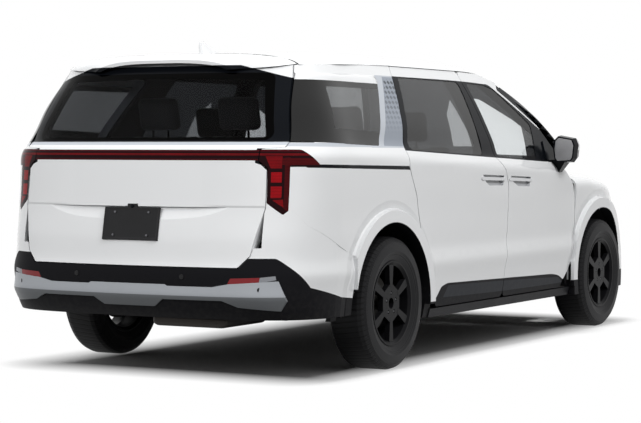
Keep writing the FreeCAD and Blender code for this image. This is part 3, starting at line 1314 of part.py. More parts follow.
def make_mirror():
    wires = []
    for x, grow in mirror_stations:
        points = [V(x, mirror_middle[0] + (y - mirror_middle[0]) * grow, mirror_middle[1] + (z - mirror_middle[1]) * grow)
                  for y, z in mirror_glass]
        wires.append(Part.makePolygon(points + points[:1]))
    shell = Part.makeLoft(wires[:2], True, True).fuse(Part.makeLoft(wires[1:], True, True))
    glass_seat = [V(790.0, mirror_middle[0] + (y - mirror_middle[0]) * 0.86, mirror_middle[1] + (z - mirror_middle[1]) * 0.86)
                  for y, z in mirror_glass]
    seat_face = Part.Face(Part.makePolygon(glass_seat + glass_seat[:1]))
    shell = shell.cut(seat_face.extrude(V(9.0, 0, 0)))
    top = [V(808.0, 930.0, 1128.0), V(905.0, 930.0, 1128.0), V(905.0, 1062.0, 1132.0), V(808.0, 1062.0, 1132.0)]
    low = [V(872.0, 930.0, 1048.0), V(925.0, 930.0, 1048.0), V(925.0, 984.0, 1048.0), V(872.0, 984.0, 1048.0)]
    foot = Part.makeLoft([Part.makePolygon(top + top[:1]), Part.makePolygon(low + low[:1])], True, True)
    sail = wall_of(lambda x, z: side(x, z) + V(0, 9.0, 0), steps(680.0, 960.0, 5), side_heights[8:16], 40.0)
    sail = sail.common(side_prism([(735.0, 1130.0, 6.0), (925.0, 1121.0, 6.0), (760.0, 1262.0, 16.0)], 800.0, 1100.0))
    us = steps(-170.0, 1200.0, 7)
    clear = trim_gap + 0.2
    outer = [[side(x, z) + V(0, clear, 0) for z in side_heights] for x in us]
    inner = [[side(x, z) - V(0, 60.0, 0) for z in side_heights] for x in us]
    save_both("mirror", join([shell, foot, sail]).cut(between(outer, inner)))


make_side_pieces()
make_tail()
make_roof()
make_front()
make_screen()
make_header()
make_door_hinges()
make_wheels()
make_running_gear()
make_floor()
make_cabin()
make_mirror()
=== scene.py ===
import math

import bpy
from mathutils import Matrix, Vector


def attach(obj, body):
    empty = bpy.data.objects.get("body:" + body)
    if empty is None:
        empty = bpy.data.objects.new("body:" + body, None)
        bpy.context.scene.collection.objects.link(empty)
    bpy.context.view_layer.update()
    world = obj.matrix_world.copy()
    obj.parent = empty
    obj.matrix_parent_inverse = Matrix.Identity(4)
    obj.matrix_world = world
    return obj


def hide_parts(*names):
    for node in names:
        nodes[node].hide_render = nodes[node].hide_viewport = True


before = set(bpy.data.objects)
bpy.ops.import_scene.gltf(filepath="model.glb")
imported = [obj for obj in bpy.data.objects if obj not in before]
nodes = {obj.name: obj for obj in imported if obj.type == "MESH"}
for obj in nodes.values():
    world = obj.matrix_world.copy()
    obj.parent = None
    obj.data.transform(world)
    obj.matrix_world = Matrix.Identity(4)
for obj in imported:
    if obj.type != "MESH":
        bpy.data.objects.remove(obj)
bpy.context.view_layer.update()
print("frame loaded:", len(nodes), "nodes")


def deselectAll():
    bpy.ops.object.select_all(action="DESELECT")


# Helpers for node trees

def fillSockets(tree, node, values):
    for key, value in values.items():
        if isinstance(value, bpy.types.NodeSocket):
            tree.links.new(value, node.inputs[key])
        else:
            node.inputs[key].default_value = value


def addNode(tree, kind, values=None, **settings):
    node = tree.nodes.new(kind)
    for name, value in settings.items():
        setattr(node, name, value)
    fillSockets(tree, node, values or {})
    return node


def calc(tree, operation, first, second=0.0, third=0.0, clamp=False):
    values = {0: first, 1: second, 2: third}
    return addNode(tree, "ShaderNodeMath", values, operation=operation, use_clamp=clamp).outputs[0]


def mixColors(tree, amount, first, second):
    return addNode(tree, "ShaderNodeMix", {0: amount, 6: first, 7: second}, data_type="RGBA").outputs[2]


def mixValues(tree, amount, first, second):
    return addNode(tree, "ShaderNodeMix", {0: amount, 2: first, 3: second}).outputs[0]


def scaled(tree, color, factor):
    return addNode(tree, "ShaderNodeVectorMath", {0: color, 3: factor}, operation="SCALE").outputs[0]


def objectPlace(tree):
    return addNode(tree, "ShaderNodeTexCoord").outputs["Object"]


def noise(tree, place, scale, detail):
    return addNode(tree, "ShaderNodeTexNoise", {"Vector": place, "Scale": scale, "Detail": detail}).outputs[0]


def bands(tree, place, scale, axis):
    values = {"Vector": place, "Scale": scale}
    return addNode(tree, "ShaderNodeTexWave", values, bands_direction=axis).outputs[1]


def bump(tree, strength, distance, height, normal=None):
    values = {"Strength": strength, "Distance": distance, "Height": height}
    if normal is not None:
        values["Normal"] = normal
    return addNode(tree, "ShaderNodeBump", values).outputs[0]


def newMaterial(name):
    material = bpy.data.materials.new(name)
    material.use_nodes = True
    tree = material.node_tree
    tree.nodes.clear()
    output = tree.nodes.new("ShaderNodeOutputMaterial")
    shader = tree.nodes.new("ShaderNodeBsdfPrincipled")
    tree.links.new(shader.outputs[0], output.inputs[0])
    return material, tree, shader


def newGroup(name, inputs):
    group = bpy.data.node_groups.new(name, "ShaderNodeTree")
    for label, value in inputs.items():
        kind = "NodeSocketFloat" if isinstance(value, float) else "NodeSocketColor"
        group.interface.new_socket(label, in_out="INPUT", socket_type=kind).default_value = value
    for label, kind in (("Color", "Color"), ("Roughness", "Float"), ("Normal", "Vector")):
        group.interface.new_socket(label, in_out="OUTPUT", socket_type="NodeSocket" + kind)
    return group, group.nodes.new("NodeGroupInput"), group.nodes.new("NodeGroupOutput")


def useGroup(tree, group, values):
    return addNode(tree, "ShaderNodeGroup", values, node_tree=group)


# Effects that several materials share

def makePaintGroup():
    group, given, out = newGroup("paintFinish", {"Color": (0.8, 0.8, 0.8, 1), "Roughness": 0.3, "Peel": 0.05})
    place = objectPlace(group)
    height = addNode(group, "ShaderNodeSeparateXYZ", {0: place}).outputs[2]
    low = calc(group, "MULTIPLY_ADD", height, -1.6, 0.9, clamp=True)
    speck = calc(group, "MULTIPLY_ADD", noise(group, place, 36.0, 5.0), 2.4, -1.0, clamp=True)
    dust = calc(group, "MULTIPLY", low, speck)
    tint = calc(group, "MULTIPLY_ADD", noise(group, place, 2.3, 2.0), 0.03, 0.985)
    shade = scaled(group, given.outputs[0], tint)
    fillSockets(group, out, {
        0: mixColors(group, calc(group, "MULTIPLY", dust, 0.10), shade, (0.36, 0.34, 0.31, 1)),
        1: calc(group, "MULTIPLY_ADD", dust, 0.16, given.outputs[1]),
        2: bump(group, given.outputs[2], 0.0006, noise(group, place, 260.0, 1.0))})
    return group


def makeGrainGroup():
    group, given, out = newGroup("mouldedGrain", {
        "Color": (0.03, 0.03, 0.03, 1), "Roughness": 0.5, "Grain": 900.0, "Depth": 0.3})
    place = objectPlace(group)
    cells = addNode(group, "ShaderNodeTexVoronoi", {"Vector": place, "Scale": given.outputs[2]}).outputs[0]
    patches = noise(group, place, 9.0, 4.0)
    fillSockets(group, out, {
        0: scaled(group, given.outputs[0], calc(group, "MULTIPLY_ADD", patches, 0.5, 0.75)),
        1: calc(group, "MULTIPLY_ADD", patches, 0.14, calc(group, "SUBTRACT", given.outputs[1], 0.07)),
        2: bump(group, given.outputs[3], 0.0004, cells)})
    return group


def makeClothGroup():
    group, given, out = newGroup("wovenCloth", {"Color": (0.05, 0.05, 0.05, 1), "Threads": 700.0})
    place = objectPlace(group)
    weave = calc(group, "MULTIPLY", *[bands(group, place, given.outputs[1], axis) for axis in "YZ"])
    fuzz = noise(group, place, 60.0, 4.0)
    fillSockets(group, out, {
        0: scaled(group, given.outputs[0], calc(group, "MULTIPLY_ADD", fuzz, 0.6, 0.7)),
        1: calc(group, "MULTIPLY_ADD", fuzz, 0.1, 0.8),
        2: bump(group, 0.4, 0.0006, weave)})
    return group


paintFinish = makePaintGroup()
mouldedGrain = makeGrainGroup()
wovenCloth = makeClothGroup()


# Masks in the object's own coordinates, in metres

def coordinates(tree):
    place = addNode(tree, "ShaderNodeTexCoord")
    parts = addNode(tree, "ShaderNodeSeparateXYZ", {0: place.outputs["Object"]})
    facing = addNode(tree, "ShaderNodeSeparateXYZ", {0: place.outputs["Normal"]})
    return {"x": parts.outputs[0], "y": parts.outputs[1], "z": parts.outputs[2],
            "side": calc(tree, "ABSOLUTE", parts.outputs[1]),
            "faceX": facing.outputs[0], "faceY": facing.outputs[1], "faceZ": facing.outputs[2]}


# 1 inside a convex shape whose corners run anticlockwise, 0 outside
def insideShape(tree, across, height, corners, rounding=0.004, soft=0.0012):
    farthest = None
    for first, second in zip(corners, corners[1:] + corners[:1]):
        run = Vector((second[0] - first[0], second[1] - first[1]))
        run.normalize()
        offset = first[1] * run.x - first[0] * run.y
        partly = calc(tree, "MULTIPLY_ADD", across, run.y, offset)
        away = calc(tree, "MULTIPLY_ADD", height, -run.x, partly)
        farthest = away if farthest is None else calc(tree, "SMOOTH_MAX", farthest, away, rounding)
    return calc(tree, "MULTIPLY_ADD", farthest, -1.0 / soft, 0.5, clamp=True)


def above(tree, value, edge, soft=0.002):
    return calc(tree, "MULTIPLY_ADD", calc(tree, "SUBTRACT", value, edge), 1.0 / soft, 0.5, clamp=True)


def below(tree, value, edge, soft=0.002):
    return calc(tree, "SUBTRACT", 1.0, above(tree, value, edge, soft))


def both(tree, first, second):
    return calc(tree, "MULTIPLY", first, second)


def either(tree, *masks):
    whole = masks[0]
    for mask in masks[1:]:
        whole = calc(tree, "MAXIMUM", whole, mask)
    return whole


# Zones: each gives its mask for a tree and that tree's coordinates

def zone(axis, corners, rounding=0.004, soft=0.0012):
    return lambda tree, at: insideShape(tree, at[axis], at["z"], corners, rounding, soft)


def over(axis, edge, soft=0.002):
    return lambda tree, at: above(tree, at[axis], edge, soft)


def under(axis, edge, soft=0.002):
    return lambda tree, at: below(tree, at[axis], edge, soft)


def joined(*parts):
    return lambda tree, at: either(tree, *[part(tree, at) for part in parts])


def common(first, second):
    return lambda tree, at: both(tree, first(tree, at), second(tree, at))


def without(first, second):
    return lambda tree, at: both(tree, first(tree, at), calc(tree, "SUBTRACT", 1.0, second(tree, at)))


# Colours and gloss that a user may change
finishes = {
    "white": {"color": (0.80, 0.81, 0.82, 1), "roughness": 0.32, "coat": 1.0},
    "glossBlack": {"color": (0.005, 0.006, 0.008, 1), "roughness": 0.16, "coat": 0.03},
    "grainBlack": {"color": (0.009, 0.009, 0.0105, 1), "roughness": 0.48, "coat": 0.0},
    # lighter black: painted highlight on the lit upper face of the raised cladding panel
    "slateBlack": {"color": (0.024, 0.026, 0.031, 1), "roughness": 0.40, "coat": 0.0},
    "innerDark": {"color": (0.014, 0.014, 0.016, 1), "roughness": 0.7, "coat": 0.0},
    # grey painted shade for the pockets of the door handles
    "recess": {"color": (0.42, 0.43, 0.45, 1), "roughness": 0.3, "coat": 0.6},
    "strap": {"color": (0.74, 0.75, 0.77, 1), "roughness": 0.22, "coat": 1.0},
    "grey": {"color": (0.26, 0.27, 0.29, 1), "roughness": 0.38, "coat": 0.5},
    "redLens": {"color": (0.22, 0.004, 0.008, 1), "roughness": 0.14, "coat": 0.6},
    "silver": {"color": (0.40, 0.42, 0.45, 1), "roughness": 0.34, "coat": 0.4},
    "silverLow": {"color": (0.16, 0.17, 0.18, 1), "roughness": 0.4, "coat": 0.2},
    "chrome": {"color": (0.50, 0.53, 0.58, 1), "roughness": 0.18, "coat": 0.5},
    "post": {"color": (0.29, 0.32, 0.37, 1), "roughness": 0.24, "coat": 0.3},
    "scale": {"color": (0.07, 0.08, 0.095, 1), "roughness": 0.30, "coat": 0.2},
}


def lookSockets(look):
    return {"Base Color": look.outputs[0], "Roughness": look.outputs[1], "Normal": look.outputs[2]}


# Painted panel: a ground finish, with other finishes where their masks are 1
def panelMaterial(name, ground, zones, relief=None):
    material, tree, shader = newMaterial(name)
    at = coordinates(tree)
    mixed = dict(finishes[ground])
    for finish, maskOf in zones:
        mask = maskOf(tree, at)
        for key, mix in (("color", mixColors), ("roughness", mixValues), ("coat", mixValues)):
            mixed[key] = mix(tree, mask, mixed[key], finishes[finish][key])
    look = useGroup(tree, paintFinish, {"Color": mixed["color"], "Roughness": mixed["roughness"], "Peel": 0.05})
    sockets = lookSockets(look)
    if relief:
        sockets["Normal"] = bump(tree, 1.0, 0.01, relief(tree, at), sockets["Normal"])
    fillSockets(tree, shader, {**sockets, "Specular IOR Level": 0.04, "Coat Weight": mixed["coat"],
                               "Coat Roughness": 0.04})
    return material


def grainMaterial(name, color, roughness, grain=900.0, depth=0.3, metallic=0.0, specular=0.2):
    material, tree, shader = newMaterial(name)
    values = {"Color": color, "Roughness": roughness, "Grain": grain, "Depth": depth}
    look = useGroup(tree, mouldedGrain, values)
    fillSockets(tree, shader, {**lookSockets(look), "Metallic": metallic, "Specular IOR Level": specular})
    return material


def clothMaterial(name, color):
    material, tree, shader = newMaterial(name)
    look = useGroup(tree, wovenCloth, {"Color": color})
    fillSockets(tree, shader, {**lookSockets(look), "Sheen Weight": 0.2})
    return material


# Glass that is clear all over, or clear only in some shapes, with a dark border painted around them as the
# shaded interior behind the pane
def glassMaterial(name, tint, ior=1.45, clearShapes=(), interiorShade=(0.0, 0.0, 0.0, 1)):
    material, tree, shader = newMaterial(name)
    haze = noise(tree, objectPlace(tree), 3.0, 3.0)
    light = scaled(tree, tint, calc(tree, "MULTIPLY_ADD", haze, 0.06, 0.97))
    if clearShapes:
        clear = joined(*[zone(axis, corners, 0.02, 0.004) for axis, corners in clearShapes])
        light = mixColors(tree, clear(tree, coordinates(tree)), interiorShade, light)
    fillSockets(tree, shader, {"Base Color": light, "Roughness": calc(tree, "MULTIPLY_ADD", haze, 0.02, 0.0),
                               "Transmission Weight": 1.0, "IOR": ior})
    return material


# Where each finish lies on the body

beltLine = {"height": 1.1665, "at": -0.577, "fall": 0.0378}
cladding = {"low": 0.342, "foot": [(-0.93, 0.30), (1.08, 0.30)],
            "top": [(1.045, 0.336), (0.915, 0.384), (0.820, 0.398), (-0.754, 0.432), (-0.829, 0.416),
                    (-0.905, 0.342)]}
axles = {"front": 1.6425, "rear": -1.4475, "height": 0.362}
arches = {"middles": (-1.4695, 1.6205), "radius": 0.4425, "low": 0.30, "falling": (-21.3, 11.96),
          "rising": (111.0, -56.2), "depth": 0.9}
handles = {"recesses": [[(-0.300, 1.048), (-0.246, 1.003), (-0.193, 0.981), (0.008, 0.979), (0.016, 1.038)],
                        [(0.106, 1.036), (0.162, 0.996), (0.232, 0.971), (0.406, 0.966), (0.424, 1.024)]],
           "straps": [[(-0.316, 1.036), (-0.310, 1.016), (0.032, 1.007), (0.032, 1.026)],
                      [(0.094, 1.026), (0.092, 1.006), (0.438, 0.995), (0.440, 1.013)]]}


def belt(x):
    return beltLine["height"] - beltLine["fall"] * (x - beltLine["at"])


doorBand = joined(
    zone("x", [(-1.275, belt(-1.275)), (1.22, belt(1.22)), (0.25, 1.597), (-0.1, 1.609), (-1.15, 1.609)], 0.02),
    zone("x", [(0.35, 1.565), (1.3, 1.06), (1.3, 1.75), (0.505, 1.75)], 0.01))
lowBand = joined(under("z", cladding["low"]), zone("x", cladding["foot"] + cladding["top"], 0.012))
# Upper face of the raised cladding panel, painted lighter as a highlight where light falls on it
lowBandLitFace = zone("x", [(-0.80, 0.352), (0.05, 0.335), (1.00, 0.333), (0.915, 0.372), (0.02, 0.402),
                         (-0.74, 0.418)], 0.012)
handleStrap = joined(*[zone("x", shape, 0.006) for shape in handles["straps"]])
# Recesses of the door handles, without their straps, where grey is painted as the shade in the pockets
handlePocketShade = without(joined(*[zone("x", shape, 0.006) for shape in handles["recesses"]]), handleStrap)

turnedForward = over("faceX", 0.3, 0.1)
turnedUp = over("faceZ", 0.45, 0.1)
turnedDown = under("faceZ", -0.25, 0.1)


def turnedIn(tree, at):
    inward = calc(tree, "MULTIPLY", at["faceY"], calc(tree, "SIGN", at["y"]))
    return below(tree, inward, -0.25, 0.1)


quarterTrim = without(joined(
    zone("x", [(-2.60, 1.2185), (-1.20, 1.2065), (-1.20, 1.2345), (-2.60, 1.2345)]),
    zone("x", [(-1.66, 1.2085), (-1.20, 1.2065), (-1.05, 1.609), (-1.32, 1.609)])), turnedIn)
quarterPost = zone("x", [(-1.50, 1.218), (-1.18, 1.214), (-1.05, 1.602), (-1.235, 1.602)], 0.006)
postPattern = zone("x", [(-1.48, 1.255), (-1.19, 1.225), (-1.06, 1.590), (-1.228, 1.590)])
trackSlot = zone("x", [(-2.32, 1.1255), (-2.28, 1.107), (-1.25, 1.086), (-1.272, 1.1075)], 0.002)
# Black blade between the tailgate and the quarter glass
pillarBlade = zone("x", [(-2.62, 1.238), (-2.20, 1.235), (-1.98, 1.555), (-2.62, 1.575)], 0.01)
bumperBlack = joined(
    zone("x", [(-2.7, 0.1), (-1.7, 0.1), (-1.7, 0.400), (-2.7, 0.500)]),
    zone("x", [(-2.7, 0.1), (-2.03, 0.1), (-2.03, 0.433), (-2.7, 0.597)]),
    zone("x", [(-2.7, 0.1), (-2.284, 0.1), (-2.284, 0.495), (-2.43, 0.648), (-2.7, 0.648)], 0.01))
bumperBlackAtWheel = common(bumperBlack, under("x", -1.6))
# Reflector at each end of the bumper: red, then grey towards the side
reflectorRed = zone("side", [(0.583, 0.517), (0.743, 0.524), (0.748, 0.552), (0.600, 0.546)])
reflectorGrey = zone("side", [(0.743, 0.524), (0.818, 0.540), (0.815, 0.560), (0.748, 0.552)])
tailChrome = common(over("z", 1.2225), under("z", 1.2385))
lampSeam = zone("side", [(0.684, 1.132), (0.725, 1.118), (0.725, 1.206), (0.684, 1.206)], 0.003)


# Offsets from an axle's place along the body, and the distance
def fromAxle(tree, at, x):
    dx = calc(tree, "SUBTRACT", at["x"], x)
    dz = calc(tree, "SUBTRACT", at["z"], axles["height"])
    return dx, dz, calc(tree, "SQRT", calc(tree, "MULTIPLY_ADD", dx, dx, calc(tree, "MULTIPLY", dz, dz)))


# Inner face of the wheel openings
def archInside(tree, at):
    near = [below(tree, fromAxle(tree, at, middle)[2], arches["radius"], 0.001) for middle in arches["middles"]]
    return both(tree, either(tree, *near), above(tree, at["z"], arches["low"]))


# Groove pressed round the wheel openings, in hundredths of a metre
def archGroove(tree, at):
    grooves = []
    for middle in arches["middles"]:
        reach = fromAxle(tree, at, middle)[2]
        grooves.append(both(tree, *[calc(tree, "MULTIPLY_ADD", reach, *arches[edge], clamp=True)
                                    for edge in ("falling", "rising")]))
    return calc(tree, "MULTIPLY", either(tree, *grooves), -arches["depth"])


def tailgateCrease(tree, at):
    outer = above(tree, at["side"], 0.45, 0.1)
    step = calc(tree, "MULTIPLY_ADD", at["z"], 90.0, -81.3, clamp=True)
    return calc(tree, "MULTIPLY", both(tree, step, outer), 0.35)


# Dark diamonds on the silver post, fading downward, behind its plain front bead
def quarterScales(tree, at):
    across = calc(tree, "MULTIPLY", at["x"], 73.0)
    upward = calc(tree, "MULTIPLY", at["z"], 112.0)
    waves = [calc(tree, "SINE", calc(tree, way, across, upward)) for way in ("ADD", "SUBTRACT")]
    cell = above(tree, calc(tree, "MULTIPLY", *waves), 0.12, 0.12)
    fade = calc(tree, "MULTIPLY_ADD", at["z"], 3.4, -4.35, clamp=True)
    return both(tree, postPattern(tree, at), calc(tree, "MULTIPLY", cell, fade))


# Edge of the tailgate's top that is painted like the roof
def gateTop(tree, at):
    beyond = calc(tree, "MAXIMUM", calc(tree, "SUBTRACT", at["side"], 0.47), 0.0)
    edge = calc(tree, "MULTIPLY_ADD", beyond, 0.264, at["z"])
    return both(tree, above(tree, edge, 1.640), above(tree, at["faceZ"], -0.3, 0.1))


tailBlack = without(over("z", 1.238), gateTop)


# Red lamps: dark ground, bright cells and a thin bright line

lampLook = {"ground": (0.012, 0.0010, 0.0020, 1), "cell": (0.34, 0.004, 0.008, 1),
            "edge": (0.10, 0.003, 0.006, 1), "glow": (0.5, 0.004, 0.008, 1), "line": (1.170, 1.180),
            "lineLevel": 0.45, "ribs": 42.0,
            "cells": (([(0.762, 1.104), (0.812, 1.104), (0.812, 1.165), (0.735, 1.165)], 0.55),
                      ([(0.766, 1.032), (0.813, 1.032), (0.813, 1.085), (0.765, 1.085)], 1.0),
                      ([(0.768, 0.954), (0.815, 0.954), (0.815, 1.013), (0.766, 1.013)], 1.0),
                      ([(0.776, 0.944), (0.826, 0.905), (0.822, 0.946)], 0.7),
                      ([(0.826, 0.900), (0.848, 0.880), (0.846, 1.160), (0.824, 1.160)], 0.16)),
            "tip": [(-2.385, 1.122), (-2.20, 1.122), (-2.24, 1.156), (-2.385, 1.156)], "tipLevel": 0.22}


def lampMaterial():
    material, tree, shader = newMaterial("redLamp")
    at = coordinates(tree)
    place = objectPlace(tree)
    ribs = bands(tree, place, lampLook["ribs"], "Z")
    broken = noise(tree, place, 9.0, 3.0)
    low, high = lampLook["line"]
    cells = [both(tree, common(over("z", low), under("z", high))(tree, at), lampLook["lineLevel"]),
             both(tree, zone("x", lampLook["tip"])(tree, at), lampLook["tipLevel"])]
    cells += [both(tree, zone("side", shape, 0.003)(tree, at), level) for shape, level in lampLook["cells"]]
    amount = calc(tree, "MULTIPLY", either(tree, *cells), calc(tree, "MULTIPLY_ADD", ribs, 0.55, 0.45))
    amount = calc(tree, "MULTIPLY", amount, calc(tree, "MULTIPLY_ADD", broken, 0.8, 0.5, clamp=True))
    color = mixColors(tree, amount, lampLook["ground"], lampLook["cell"])
    outline = joined(over("z", 1.190, 0.004), common(under("z", 1.152, 0.004), under("side", 0.70)))(tree, at)
    color = mixColors(tree, calc(tree, "MULTIPLY", outline, 0.5), color, lampLook["edge"])
    fillSockets(tree, shader, {
        "Base Color": color, "Emission Color": mixColors(tree, amount, (0, 0, 0, 1), lampLook["glow"]),
        "Emission Strength": 0.12, "Specular IOR Level": 0.05, "Normal": bump(tree, 0.15, 0.002, ribs),
        "Roughness": calc(tree, "MULTIPLY_ADD", broken, 0.05, 0.08), "Coat Weight": 0.05})
    return material


# Tyre: grooved tread blocks outside, with painted shade darkening the grooves, rings and notches on the walls

tyreLook = {"treadRadius": 0.345, "lugs": 74.0, "slant": 26.0, "rings": 520.0, "ringZone": (0.262, 0.272),
            "notches": 148.0, "shoulder": 0.322, "color": (0.011, 0.011, 0.012, 1),
            "sipeShade": (0.004, 0.004, 0.004, 1)}


def tyreMaterial(end):
    material, tree, shader = newMaterial("tyreRubber" + end.capitalize())
    at = coordinates(tree)
    dx, dz, reach = fromAxle(tree, at, axles[end])
    turn = calc(tree, "ARCTAN2", dz, dx)
    edge = tyreLook["treadRadius"]
    tread = above(tree, reach, edge, 0.006)
    lugs = calc(tree, "MULTIPLY", turn, tyreLook["lugs"])
    slant = calc(tree, "MULTIPLY_ADD", at["side"], tyreLook["slant"], lugs)
    sipes = above(tree, calc(tree, "SINE", slant), 0.72, 0.3)
    sipeDepth = calc(tree, "MULTIPLY", both(tree, sipes, tread), -1.0)
    rings = calc(tree, "SINE", calc(tree, "MULTIPLY", reach, tyreLook["rings"]))
    low, high = tyreLook["ringZone"]
    ringZone = both(tree, above(tree, reach, low, 0.004), below(tree, reach, high, 0.004))
    shoulder = both(tree, above(tree, reach, tyreLook["shoulder"], 0.003), below(tree, reach, edge, 0.003))
    teeth = calc(tree, "SINE", calc(tree, "MULTIPLY", turn, tyreLook["notches"]))
    notches = both(tree, above(tree, teeth, 0.2, 0.3), shoulder)
    height = calc(tree, "ADD", calc(tree, "MULTIPLY", rings, calc(tree, "MULTIPLY", ringZone, 0.3)),
                  calc(tree, "ADD", sipeDepth, calc(tree, "MULTIPLY", notches, -0.5)))
    look = useGroup(tree, mouldedGrain, {"Color": tyreLook["color"], "Roughness": 0.55, "Grain": 700.0,
                                         "Depth": 0.15})
    sockets = lookSockets(look)
    # painted shade: the grooves of the tread are coloured darker
    dark = mixColors(tree, calc(tree, "MULTIPLY", sipeDepth, -0.8), sockets["Base Color"], tyreLook["sipeShade"])
    fillSockets(tree, shader, {"Base Color": dark, "Roughness": sockets["Roughness"],
                               "Normal": bump(tree, 0.9, 0.004, height, sockets["Normal"]),
                               "Specular IOR Level": 0.16})
    return material


# Clear parts of the dark panes, by the axis that runs across each; elsewhere the panes are painted dark as the
# shaded interior behind them
clearParts = {
    "rear": (("side", [(-0.01, 1.262), (0.700, 1.262), (0.610, 1.56), (-0.01, 1.575)]),),
    "quarter": (("x", [(-2.02, 1.31), (-1.40, 1.29), (-1.12, 1.53), (-1.96, 1.53)]),),
    "sliding": (("x", [(-1.085, 1.470), (-0.941, 1.445), (-0.983, 1.325)]),
                ("x", [(-0.600, 1.215), (-0.300, 1.215), (-0.430, 1.490), (-0.560, 1.400)])),
    "frontDoor": (("x", [(-0.10, 1.168), (0.80, 1.150), (0.654, 1.275), (0.449, 1.366), (0.006, 1.502),
                         (-0.105, 1.502)]),)}

# Material name, ground finish, zones from the lowest to the topmost, and relief
panelLooks = {
    "sideDoor": ("sideDoorPaint", "white", [
        ("glossBlack", doorBand), ("grainBlack", lowBand), ("slateBlack", lowBandLitFace),
        ("recess", handlePocketShade), ("strap", handleStrap), ("grainBlack", archInside),
        ("innerDark", turnedIn)], archGroove),
    "bodySide": ("quarterPaint", "white", [
        ("chrome", quarterTrim), ("post", quarterPost), ("scale", quarterScales), ("glossBlack", pillarBlade),
        ("glossBlack", trackSlot), ("grainBlack", lowBand), ("grainBlack", bumperBlackAtWheel),
        ("grainBlack", archInside), ("innerDark", turnedIn)], archGroove),
    "fender": ("fenderPaint", "white", [
        ("grainBlack", lowBand), ("grainBlack", archInside), ("innerDark", turnedIn)], archGroove),
    "rearBumper": ("rearBumperPaint", "white", [
        ("grainBlack", bumperBlack), ("redLens", reflectorRed), ("grey", reflectorGrey),
        ("grainBlack", archInside), ("innerDark", turnedForward)], archGroove),
    "tailgate": ("tailgatePaint", "white", [
        ("glossBlack", tailBlack), ("chrome", tailChrome), ("glossBlack", lampSeam),
        ("innerDark", turnedForward)], tailgateCrease),
    "roof": ("roofPaint", "white", [("innerDark", turnedDown)]),
    "frontBumper": ("frontBumperPaint", "white", [
        ("grainBlack", under("z", 0.36)), ("grainBlack", archInside)]),
    "bodyPaint": ("bodyPaint", "white", []),
    "skidPlate": ("skidPlatePaint", "silver", [("silverLow", under("z", 0.452)), ("silverLow", turnedUp)]),
    "blackGloss": ("pianoBlack", "glossBlack", []),
}

# Material name, colour, roughness, grain, depth, metal share and specular level
grainLooks = {
    "blackTrim": ("blackTrim", (0.012, 0.012, 0.013, 1), 0.36, 1400.0, 0.1),
    "screwMetal": ("screwMetal", (0.14, 0.14, 0.15, 1), 0.4, 2200.0, 0.1, 0.8),
    "wheel": ("satinBlackAlloy", (0.0075, 0.0075, 0.0085, 1), 0.30, 1500.0, 0.05, 0.0, 0.06),
    "steel": ("dullSteel", (0.045, 0.040, 0.036, 1), 0.5, 260.0, 0.4, 0.5),
    "cast": ("castMetal", (0.06, 0.058, 0.055, 1), 0.6, 420.0, 0.5, 0.5),
    "plastic": ("grainedPlastic", (0.012, 0.012, 0.0135, 1), 0.52, 900.0, 0.3, 0.0, 0.1),
    "underbody": ("underbodyCoat", (0.05, 0.046, 0.042, 1), 0.75, 300.0, 0.5),
    "inner": ("innerTrim", (0.03, 0.03, 0.032, 1), 0.7, 800.0, 0.3),
    "mirrorGlass": ("mirrorGlass", (0.30, 0.30, 0.31, 1), 0.18, 60.0, 0.02),
    "nut": ("blackNut", (0.05, 0.05, 0.055, 1), 0.25, 900.0, 0.05, 0.7),
}

# Material name, tint, refraction, clear shapes and the colour of the painted interior shade around them
glassLooks = {
    "darkGlass": ("privacyGlass", (0.30, 0.31, 0.32), 1.12, clearParts["rear"]),
    "quarterGlass": ("quarterGlass", (0.16, 0.165, 0.17), 1.45, clearParts["quarter"]),
    "slidingGlass": ("slidingGlass", (0.34, 0.35, 0.36), 1.3, clearParts["sliding"], (0.035, 0.037, 0.040, 1)),
    "frontDoorGlass": ("frontDoorGlass", (0.84, 0.86, 0.87), 1.2, clearParts["frontDoor"],
                       (0.03, 0.032, 0.035, 1)),
    "clearGlass": ("clearGlass", (0.90, 0.92, 0.92), 1.3),
    "lampGlass": ("headlampGlass", (0.93, 0.95, 0.97)),
}


def makeMaterials():
    made = {}
    for make, looks in ((panelMaterial, panelLooks), (grainMaterial, grainLooks), (glassMaterial, glassLooks)):
        made.update({key: make(*look) for key, look in looks.items()})
    made["redLamp"] = lampMaterial()
    made["tyreFront"] = tyreMaterial("front")
    made["tyreRear"] = tyreMaterial("rear")
    made["cloth"] = clothMaterial("seatCloth", (0.035, 0.035, 0.038, 1))
    return made


materials = makeMaterials()
print("materials made:", len(materials))

finishOfNode = {
    "body_side": "bodySide", "sliding_door_": "sideDoor", "front_door_": "sideDoor",
    "front_fenders": "fender", "rear_bumper": "rearBumper", "tailgate": "tailgate", "roof_panel": "roof",
    "hood": "roof", "front_bumper": "frontBumper", "rear_skid_plate": "skidPlate",
    "windscreen_pillars": "blackGloss", "tailgate_lamp": "redLamp", "tail_lamps": "redLamp",
    "tailgate_glass": "darkGlass", "quarter_glass": "quarterGlass", "sliding_door_glass": "slidingGlass",
    "front_door_glass": "frontDoorGlass", "windscreen": "clearGlass", "headlamps": "lampGlass",
    "front_grille": "blackGloss", "mirror": "blackGloss", "tyre_front": "tyreFront", "tyre_rear": "tyreRear",
    "rim_": "wheel", "exhaust": "steel", "engine_block": "cast", "front_knuckle": "cast",
    "front_suspension": "cast", "rear_suspension": "cast", "fuel_tank": "plastic",
    "wheel_arch_liners": "plastic", "floor_pan": "underbody", "sill_trims": "plastic", "inner_frame": "inner",
    "front_seats": "cloth", "rear_seats": "cloth", "dashboard": "inner", "steering_wheel": "plastic",
    "door_hinges": "bodyPaint", "front_header": "inner",
}


